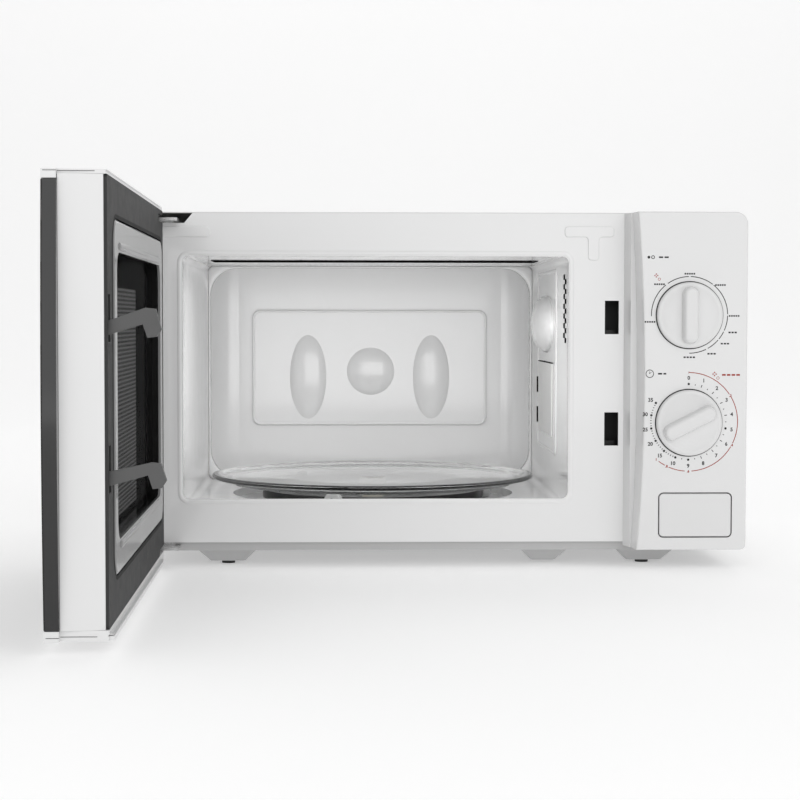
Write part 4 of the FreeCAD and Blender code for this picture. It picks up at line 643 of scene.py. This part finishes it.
class OVEN_OT_dials(bpy.types.Operator):
    """Two dials with a soft rim and a rounded grip bar."""

    bl_idname = "oven.dials"
    bl_label = "Dials"

    def execute(self, context):
        for name, centre, pointer in (("power", POWER_CENTRE, 0.0), ("timer", TIMER_CENTRE, TIMER_POINTER)):
            points, faces = dial_shape(centre, pointer)
            dial = make_piece(f"{name}_dial_cap", points, faces, FINISHES["knob_plastic"], f"{name}_dial")
            sharpen(dial, 50.0)
            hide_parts(f"{name}_knob")
            # A dark ring round each dial: painted shade of the gap between dial and panel.
            gap = arc_band(centre, 23.9, 0.7, 0, 360)
            print_piece(f"{name}_dial_gap_shade", [gap], "painted_gap_shade")
        return {"FINISHED"}


def arc_band(centre, radius, width, start, end):
    """Flat band along an arc: two rows of points, at radius less and plus half the width. Degrees run
    clockwise from the top."""
    steps = max(3, int(abs(end - start) / 2.5) + 1)
    angle = np.radians(np.linspace(start, end, steps))
    rows = []
    for reach in (radius - width / 2, radius + width / 2):
        rows.append(np.stack([centre[0] + reach * np.sin(angle), np.zeros(steps),
                              centre[1] + reach * np.cos(angle)], axis=-1))
    return np.array(rows)


def bar(centre, radius, length, width, degrees):
    """Short flat bar that points outwards at a radius and a clock angle."""
    turn = math.radians(degrees)
    out = np.array([math.sin(turn), 0, math.cos(turn)])
    across = np.array([math.cos(turn), 0, -math.sin(turn)])
    middle = np.array([centre[0], 0, centre[1]])
    near = middle + out * (radius - length / 2)
    far = middle + out * (radius + length / 2)
    return np.array([[near - across * width / 2, near + across * width / 2],
                     [far - across * width / 2, far + across * width / 2]])


def dot(x, z, radius):
    """Flat round dot, as a small ring of points closed onto its centre."""
    return arc_band((x, z), radius / 2, radius, 0, 360)


def flat_rect(x, z, width, height, degrees=0.0):
    """Flat rectangle, turned clockwise about its centre."""
    return bar((x, z), 0.0, height, width, degrees)


def print_piece(name, patches, material):
    """One thin print on the panel's face from flat patches of points."""
    points = []
    faces = []
    start = 0
    for patch in patches:
        rows, columns = patch.shape[:2]
        faces.append(grid_faces(rows, columns, start))
        points.append(patch.reshape(-1, 3))
        start += rows * columns
    points = np.vstack(points)
    points[:, 1] = PANEL_FRONT - PRINT_GAP
    piece = make_piece(name, points, np.vstack(faces), FINISHES[material], "case",
                       smooth=False, closed=False)
    thicken(piece)


def thicken(piece):
    """Turns the flat print's faces to the front and gives them their thickness towards the front."""
    work = bmesh.new()
    work.from_mesh(piece.data)
    backward = [face for face in work.faces if face.normal.y > 0]
    bmesh.ops.reverse_faces(work, faces=backward)
    work.to_mesh(piece.data)
    work.free()
    solid = piece.modifiers.new("thickness", "SOLIDIFY")
    solid.thickness = sizes().print_lift * MM
    solid.offset = 1.0


def numerals(name, marks, material):
    """Numbers on the panel: each mark is its digits, its place as X and Z, and its height. They're made
    with Blender's own face, joined into one flat mesh, and thickened."""
    points = []
    faces = []
    start = 0
    for words, x, z, height in marks:
        curve = bpy.data.curves.new("numeral", "FONT")
        curve.body = words
        curve.size = height * 1.42
        curve.align_x = "CENTER"
        curve.align_y = "CENTER"
        curve.resolution_u = 3
        curve.offset = 0.11
        maker = bpy.data.objects.new("numeral", curve)
        bpy.context.scene.collection.objects.link(maker)
        bpy.context.view_layer.update()
        shape = bpy.data.meshes.new_from_object(maker)
        flat = np.zeros(len(shape.vertices) * 3)
        shape.vertices.foreach_get("co", flat)
        flat = flat.reshape(-1, 3)
        flat[:, :2] -= (flat[:, :2].max(0) + flat[:, :2].min(0)) / 2
        points.append(np.stack([flat[:, 0] + x, np.full(len(flat), PANEL_FRONT - PRINT_GAP),
                                flat[:, 1] + z], axis=-1))
        faces += [[start + corner for corner in face.vertices] for face in shape.polygons]
        start += len(flat)
        bpy.data.objects.remove(maker)
        bpy.data.curves.remove(curve)
        bpy.data.meshes.remove(shape)
    mesh = bpy.data.meshes.new(name)
    mesh.from_pydata((np.vstack(points) * MM).tolist(), [], faces)
    piece = bpy.data.objects.new(name, mesh)
    bpy.context.scene.collection.objects.link(piece)
    mesh.materials.append(FINISHES[material])
    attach(piece, "case")
    thicken(piece)


def timer_angle(minutes):
    """Clock angle of a time: 20 degrees a minute up to 10, then 4 degrees a minute."""
    return 20.0 * minutes if minutes <= 10 else 200.0 + 4.0 * (minutes - 10)


def around(centre, radius, degrees):
    """Point at a radius and a clock angle from a centre."""
    turn = math.radians(degrees)
    return centre[0] + radius * math.sin(turn), centre[1] + radius * math.cos(turn)


def level_marks(x, z, pitch=1.6, count=5, size=1.15):
    """A row of small square marks, as for a power level."""
    return [flat_rect(x + (k - (count - 1) / 2) * pitch, z, size, size) for k in range(count)]


class OVEN_OT_print(bpy.types.Operator):
    """Scales, level marks and numbers printed on the control panel."""

    bl_idname = "oven.panel_print"
    bl_label = "Panel print"

    power = (POWER_CENTRE[0], POWER_CENTRE[1] + 0.2)
    timer = (TIMER_CENTRE[0] - 0.2, TIMER_CENTRE[1] + 0.6)
    power_ring = 27.3
    minute_ring = 27.1
    number_ring = 31.5
    weight_ring = 35.3
    fine_line = 0.5

    def power_scale(self):
        """Arcs round the power dial, with a gap at each setting, and the marks of the settings."""
        width = sizes().print_width
        stops = (268, 321, 325, 358.5, 361.5, 397, 399, 449, 451, 474, 476, 489, 491, 511, 514, 540)
        patches = [arc_band(self.power, self.power_ring, width, start, end)
                   for start, end in zip(stops[::2], stops[1::2])]
        for x, z in ((149.7, 179.0), (156.3, 205.8), (178.0, 213.3), (200.0, 205.3), (210.0, 183.3)):
            patches += level_marks(x, z)
        for x, z, count in ((209.0, 171.5, 3), (203.5, 163.5, 3), (194.0, 156.3, 3), (178.0, 153.8, 4)):
            patches += [flat_rect(x + (k - (count - 1) / 2) * 2.2, z, 1.6, 1.1) for k in range(count)]
        return patches

    def headings(self):
        """A small sign and two plain bars over each dial: a dash with a ring, and a clock."""
        return [flat_rect(148.6, 225.0, 1.7, 0.5), dot(148.6, 225.0, 1.0),
                arc_band((151.6, 225.0), 1.05, self.fine_line, 0, 360),
                flat_rect(157.3, 225.0, 3.0, 1.1), flat_rect(161.3, 225.0, 3.0, 1.1),
                arc_band((149.8, 142.0), 2.7, self.fine_line, 0, 360), flat_rect(149.5, 142.8, 0.32, 1.7),
                flat_rect(150.3, 142.6, 0.32, 1.7, 45.0), flat_rect(157.2, 142.0, 3.0, 1.1),
                flat_rect(160.6, 142.0, 2.0, 1.1)]

    def minute_scale(self):
        """Dots and ticks round the timer: every half minute up to 10, then every minute to 35."""
        patches = []
        for half_minute in range(20):
            angle = timer_angle(half_minute / 2)
            if half_minute % 10 == 0 or half_minute == 18:
                patches.append(dot(*around(self.timer, self.minute_ring, angle), 0.85))
            elif half_minute % 2 == 0:
                patches.append(bar(self.timer, self.minute_ring, 1.9, self.fine_line, angle))
            else:
                patches.append(bar(self.timer, self.minute_ring - 0.3, 0.9, self.fine_line, angle))
        for minutes in range(10, 36):
            angle = timer_angle(minutes)
            if minutes % 5 == 0:
                patches.append(dot(*around(self.timer, self.minute_ring, angle), 0.85))
            else:
                patches.append(bar(self.timer, self.minute_ring - 0.1, 1.0, self.fine_line, angle))
        return patches

    def defrost_scale(self):
        """Arcs of the weights round the timer, two signs of a flake and a drop, and four plain bars."""
        patches = [arc_band(self.timer, self.weight_ring, 0.55, start, end)
                   for start, end in ((0, 56), (60, 115.5), (120.5, 176), (184, 203.5), (208.5, 217))]
        patches.append(bar(self.timer, self.weight_ring, 1.5, 0.3, 0.0))
        for x, z, scale in ((154.0, 212.0, 1.0), (196.3, 141.8, 1.1)):
            patches += [flat_rect(x + across * scale, z + up * scale, 0.8 * scale, 0.8 * scale, 45.0)
                        for across, up in ((0, 1), (1, 0), (0, -1), (-1, 0))]
            patches.append(arc_band((x + 2.2 * scale, z - 2.6 * scale), 0.85 * scale, 0.28, 0, 360))
        patches += [flat_rect(203.0 + 3.4 * k, 141.2, 2.6, 1.2) for k in range(4)]
        return patches

    def execute(self, context):
        print_piece("scale_print", self.power_scale() + self.headings() + self.minute_scale(), "print_dark")
        print_piece("defrost_print", self.defrost_scale(), "print_red")
        minutes = list(range(11)) + [15, 20, 25, 30, 35]
        numerals("minute_numbers", [(str(m), *around(self.timer, self.number_ring, timer_angle(m)), 2.6)
                                    for m in minutes], "print_dark")
        weights = ((".2", 58), (".4", 118), (".6", 180), (".8", 206), ("1", 220.5))
        numerals("weight_numbers", [(digits, *around(self.timer, self.weight_ring + 0.1, angle), 1.7)
                                    for digits, angle in weights], "print_red")
        return {"FINISHED"}


class OVEN_OT_plate(bpy.types.Operator):
    """Glass plate: a profile with a raised lip and a lower step, turned round the turntable's axis."""

    bl_idname = "oven.plate"
    bl_label = "Glass plate"

    def execute(self, context):
        top = [(0.0, 54.2), (60.0, 54.2), (110.0, 54.25), (114.6, 54.6), (117.6, 55.6), (120.6, 56.9),
               (123.6, 57.5), (126.6, 57.68), (127.9, 57.4), (128.5, 56.5)]
        under = [(128.5, 55.2), (127.7, 54.3), (124.0, 53.4), (119.5, 52.9), (117.0, 51.6), (114.6, 50.3),
                 (112.0, 49.85), (60.0, 49.8), (0.0, 49.8)]
        steps = 192
        points = turned_points(top + under, TURN_CENTRE, steps)
        plate = make_ring("turntable_plate", points, "plate_glass", "turntable")
        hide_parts("glass_plate")
        return {"FINISHED"}


class OVEN_OT_front_lip(bpy.types.Operator):
    """Rolled lip of the front frame round the mouth of the cooking space."""

    bl_idname = "oven.front_lip"
    bl_label = "Mouth lip"

    def execute(self, context):
        profile = [(0.0, -157.2), (-0.05, -159.0), (0.25, -159.8), (0.9, -160.25), (1.8, -160.4),
                   (2.8, -160.32), (3.8, -160.05), (4.0, -159.9), (1.2, -159.4), (0.4, -157.4)]
        points = ring_points(CAVITY_LEFT, CAVITY_RIGHT, MOUTH_LOW, CEILING, MOUTH_RADIUS, profile)
        make_ring("mouth_lip", points, "front_enamel", "case")
        return {"FINISHED"}


class OVEN_OT_cavity(bpy.types.Operator):
    """Rim of the drawn back, edges of raised panels, painted shade in the openings of roof and side wall."""

    bl_idname = "oven.cavity"
    bl_label = "Cooking space"

    def rim_points(self):
        """Rows of a rim: an inner outline with wide corners and an outer one with the liner's own corners,
        so that the rim is a low ridge along the walls and fills each corner with a web."""
        inner = (CAVITY_LEFT + 1.7, CAVITY_RIGHT - 1.7, FLOOR + 1.55, CEILING - 1.55, 24.0)
        outer = (CAVITY_LEFT + 0.05, CAVITY_RIGHT - 0.05, FLOOR + 0.05, CEILING - 0.05, MOUTH_RADIUS)
        steps = 12
        rows = [upright_row(*outline, outside, BACK_JOIN + behind, steps)
                for outline, outside, behind in (
                    (inner, 0.0, 10.0), (inner, 0.0, 1.2), (inner, 0.3, 0.5), (inner, 0.9, 0.2),
                    (outer, -0.35, 0.4), (outer, 0.0, 1.0), (outer, 0.0, 10.0))]
        return np.array(rows + rows[:1])

    def opening_plates(self):
        """Dark plates of painted shade at the roof's gap, the window's top and rear edges and the lamp's
        holes.
        """
        wall = CAVITY_RIGHT - 0.05
        plates = [slab((-171.5, 83.5), (-57.5, -17.5), (CEILING - 0.55, CEILING - 0.25)),
                  slab((CAVITY_RIGHT - 1.4, wall), (-60.0, 38.0), (146.1, 146.7))]
        plates += [slab((CAVITY_RIGHT - 1.6, wall), (46.2, 47.6), span)
                   for span in ((95.0, 108.0), (120.0, 133.0))]
        for column in range(2):
            for place in range(7):
                low = 163.5 + 3.6 * column + 7.2 * place
                front = -145.5 + 8.6 * column
                plates.append(slab((CAVITY_RIGHT - 0.3, wall), (front, front + 7.4), (low - 0.2, low + 3.6)))
        return plates

    def execute(self, context):
        make_ring("back_rim", self.rim_points(), "cavity_enamel", "case")
        edge = ring_points(**RAISED_PANEL, profile=[
            (outside, RAISED_FACE + behind) for outside, behind in (
                (0.2, 1.6), (0.25, 0.3), (0.0, -0.3), (-0.6, -0.65), (-1.4, -0.6), (-2.0, -0.2),
                (-2.1, 0.2), (-0.8, 0.8))])
        make_ring("raised_panel_edge", edge, "cavity_enamel", "case")
        wall = ring_points(**WALL_PANEL, profile=[
            (outside, CAVITY_RIGHT + behind) for outside, behind in (
                (-1.6, 0.1), (-1.1, -0.4), (0.0, -0.8), (1.1, -0.4), (1.6, 0.1))])
        make_ring("wall_panel_edge", wall[..., [1, 0, 2]], "cavity_enamel", "case")
        # Painted shade: near-black plates flush with the openings, where the real openings hold only shade.
        plates = self.opening_plates()
        points = np.vstack(plates)
        faces = np.vstack([slab_faces(8 * k) for k in range(len(plates))])
        make_piece("painted_shade_openings", points, faces, FINISHES["painted_opening_shade"], "case",
                   smooth=False)
        return {"FINISHED"}


class OVEN_OT_door_inside(bpy.types.Operator):
    """Painted shade in the choke's groove and the trim's grooves, and the pressed ridges over and under the
    window.
    """

    bl_idname = "oven.door_inside"
    bl_label = "Door inside"

    def thin_bar(self, x, front, back, z):
        """A slender bar along Y on the free edge of the door's trim, 0.2 mm thick and 0.3 mm high: painted
        shade of a groove.
        """
        points = np.zeros((2, 4, 3))
        points[..., 0] = x + np.array([-0.1, 0.1, 0.1, -0.1])
        points[..., 1] = np.array([[front], [back]])
        points[..., 2] = z + np.array([-0.15, -0.15, 0.15, 0.15])
        return points

    def execute(self, context):
        y = DOOR_INNER
        # Painted shade: a dark ring lying in the groove round the door's inner panel, wider on its free side.
        groove = ring_points(**INNER_PANEL, profile=[(0.0, y + 0.02), (0.05, y + 0.14), (2.2, y + 0.14),
                                                     (2.3, y - 0.05), (0.1, y - 0.05)])
        wide_from = INNER_PANEL["right"] - 1.4
        past = (groove[..., 0] - wide_from).clip(0)
        groove[..., 0] += 0.9 * past
        groove_shade_ring = make_ring("choke_groove_shade", door_open(groove), "painted_gap_shade", "door")
        sharpen(groove_shade_ring, 40.0)
        # Painted shade: thin dark bars in the grooves of the door's trim, over and under the door.
        lines = [self.thin_bar(x, front, back, z) for z in (259.2, 10.6)
                 for x, front, back in ((139.42, -194.4, -187.2), (134.82, -187.2, -167.5))]
        points = np.vstack([line.reshape(-1, 3) for line in lines])
        faces = np.vstack([grid_faces(*line.shape[:2], 8 * k, wrap=True) for k, line in enumerate(lines)])
        make_piece("trim_groove_shades", door_open(points), faces, FINISHES["painted_gap_shade"], "door",
                   smooth=False)
        for name, z in (("upper", 221.4), ("lower", 53.6)):
            ridge = door_open(ridge_points(-172.0, 80.0, z, 2.3, y + 0.55, -1.1))
            make_ring(f"{name}_window_ridge", ridge, "door_enamel", "door")
        return {"FINISHED"}


def studio_sheet(width, depth, rise, bend):
    """Floor that bends up into a backdrop: a profile along Y of a flat run, a quarter circle of radius bend
    and an upright run, carried along X."""
    turn = np.linspace(0, np.pi / 2, 24)
    curve = np.stack([bend * np.sin(turn), bend * (1 - np.cos(turn))], -1)
    profile = np.concatenate([[(-depth, 0.0)], curve, [(bend, rise)]])
    profile[:, 0] += 1500.0
    x = np.linspace(-width / 2, width / 2, 3)
    points = np.zeros((len(profile), len(x), 3))
    points[..., 0] = x
    points[..., 1] = profile[:, None, 0]
    points[..., 2] = profile[:, None, 1]
    return points


class OVEN_OT_studio(bpy.types.Operator):
    """Pale floor and backdrop, soft lights and the camera."""

    bl_idname = "oven.studio"
    bl_label = "Studio"

    def execute(self, context):
        scene = context.scene
        studio = scene.oven_studio
        finish = Finish("studio_paper")
        drift = finish.noise(3.0)
        colour = finish.mix(drift, shade(studio.floor_level), shade(studio.floor_level * 0.99))
        paper = finish.surface(colour, 0.9, Emission_Color=shade(1.0), Emission_Strength=studio.floor_glow)
        points = studio_sheet(16000.0, 7000.0, 5000.0, 900.0)
        mesh = bpy.data.meshes.new("studio_sheet")
        mesh.from_pydata((points.reshape(-1, 3) * MM).tolist(), [], grid_faces(*points.shape[:2]).tolist())
        mesh.polygons.foreach_set("use_smooth", np.full(len(mesh.polygons), True))
        mesh.materials.append(paper)
        floor = bpy.data.objects.new("studio_sheet", mesh)
        scene.collection.objects.link(floor)
        for name, place, aim, width, height, power in (
                ("key", (1.5, -2.6, 1.9), (0.0, 0.0, 0.15), 1.6, 1.6, 10.0),
                ("top", (0.0, -0.4, 2.4), (0.0, 0.0, 0.1), 2.4, 2.0, 4.0),
                ("front", (-0.05, -2.4, 0.6), (0.0, 0.0, 0.15), 3.0, 1.4, 15.0),
                ("back", (0.4, 1.2, 1.9), (0.0, 0.3, 0.3), 1.6, 1.0, 4.0),
                ("oven", (-0.045, -0.157, 0.15), (-0.045, 0.1, 0.12), 0.25, 0.12, 0.17)):
            light = bpy.data.lights.new(name, "AREA")
            light.shape = "RECTANGLE"
            light.size = width
            light.size_y = height
            light.energy = power
            lamp = bpy.data.objects.new(name, light)
            lamp.location = place
            lamp.rotation_euler = (Vector(aim) - Vector(place)).to_track_quat("-Z", "Y").to_euler()
            lamp.visible_camera = False
            scene.collection.objects.link(lamp)
        world = bpy.data.worlds.new("studio")
        world.use_nodes = True
        backing = world.node_tree.nodes["Background"]
        backing.inputs["Color"].default_value = (1.0, 1.0, 1.0, 1.0)
        backing.inputs["Strength"].default_value = studio.world_strength
        scene.world = world
        scene.view_settings.view_transform = "Standard"
        view = bpy.data.cameras.new("camera")
        view.lens = studio.lens
        view.sensor_width = 36.0
        view.clip_start = 0.05
        view.clip_end = 30.0
        camera = bpy.data.objects.new("camera", view)
        pitch, roll, heading = studio.camera_turn
        camera.location = studio.camera_place
        camera.rotation_euler = (math.radians(90 + pitch), math.radians(roll), math.radians(heading))
        scene.collection.objects.link(camera)
        scene.camera = camera
        return {"FINISHED"}


OPERATORS = (OVEN_OT_finishes, OVEN_OT_dials, OVEN_OT_print, OVEN_OT_plate, OVEN_OT_front_lip,
             OVEN_OT_cavity, OVEN_OT_door_inside, OVEN_OT_studio)
GROUPS = (OvenLook, OvenSizes, StudioSettings)


class OVEN_PT_panel(bpy.types.Panel):
    """The steps that dress the oven, in order."""

    bl_idname = "OVEN_PT_panel"
    bl_label = "Microwave oven"
    bl_space_type = "VIEW_3D"
    bl_region_type = "UI"
    bl_category = "Oven"

    def draw(self, context):
        for operator in OPERATORS:
            self.layout.operator(operator.bl_idname)


def register():
    """Adds the settings, the steps and their panel to Blender."""
    for kind in GROUPS + OPERATORS + (OVEN_PT_panel,):
        bpy.utils.register_class(kind)
    bpy.types.Scene.oven_look = PointerProperty(type=OvenLook)
    bpy.types.Scene.oven_sizes = PointerProperty(type=OvenSizes)
    bpy.types.Scene.oven_studio = PointerProperty(type=StudioSettings)


def unregister():
    """Takes them out again."""
    del bpy.types.Scene.oven_look, bpy.types.Scene.oven_sizes, bpy.types.Scene.oven_studio
    for kind in reversed(GROUPS + OPERATORS + (OVEN_PT_panel,)):
        bpy.utils.unregister_class(kind)


def main():
    """Dresses the oven step by step."""
    register()
    for operator in OPERATORS:
        group, name = operator.bl_idname.split(".")
        getattr(getattr(bpy.ops, group), name)()


if __name__ == "__main__":
    main()
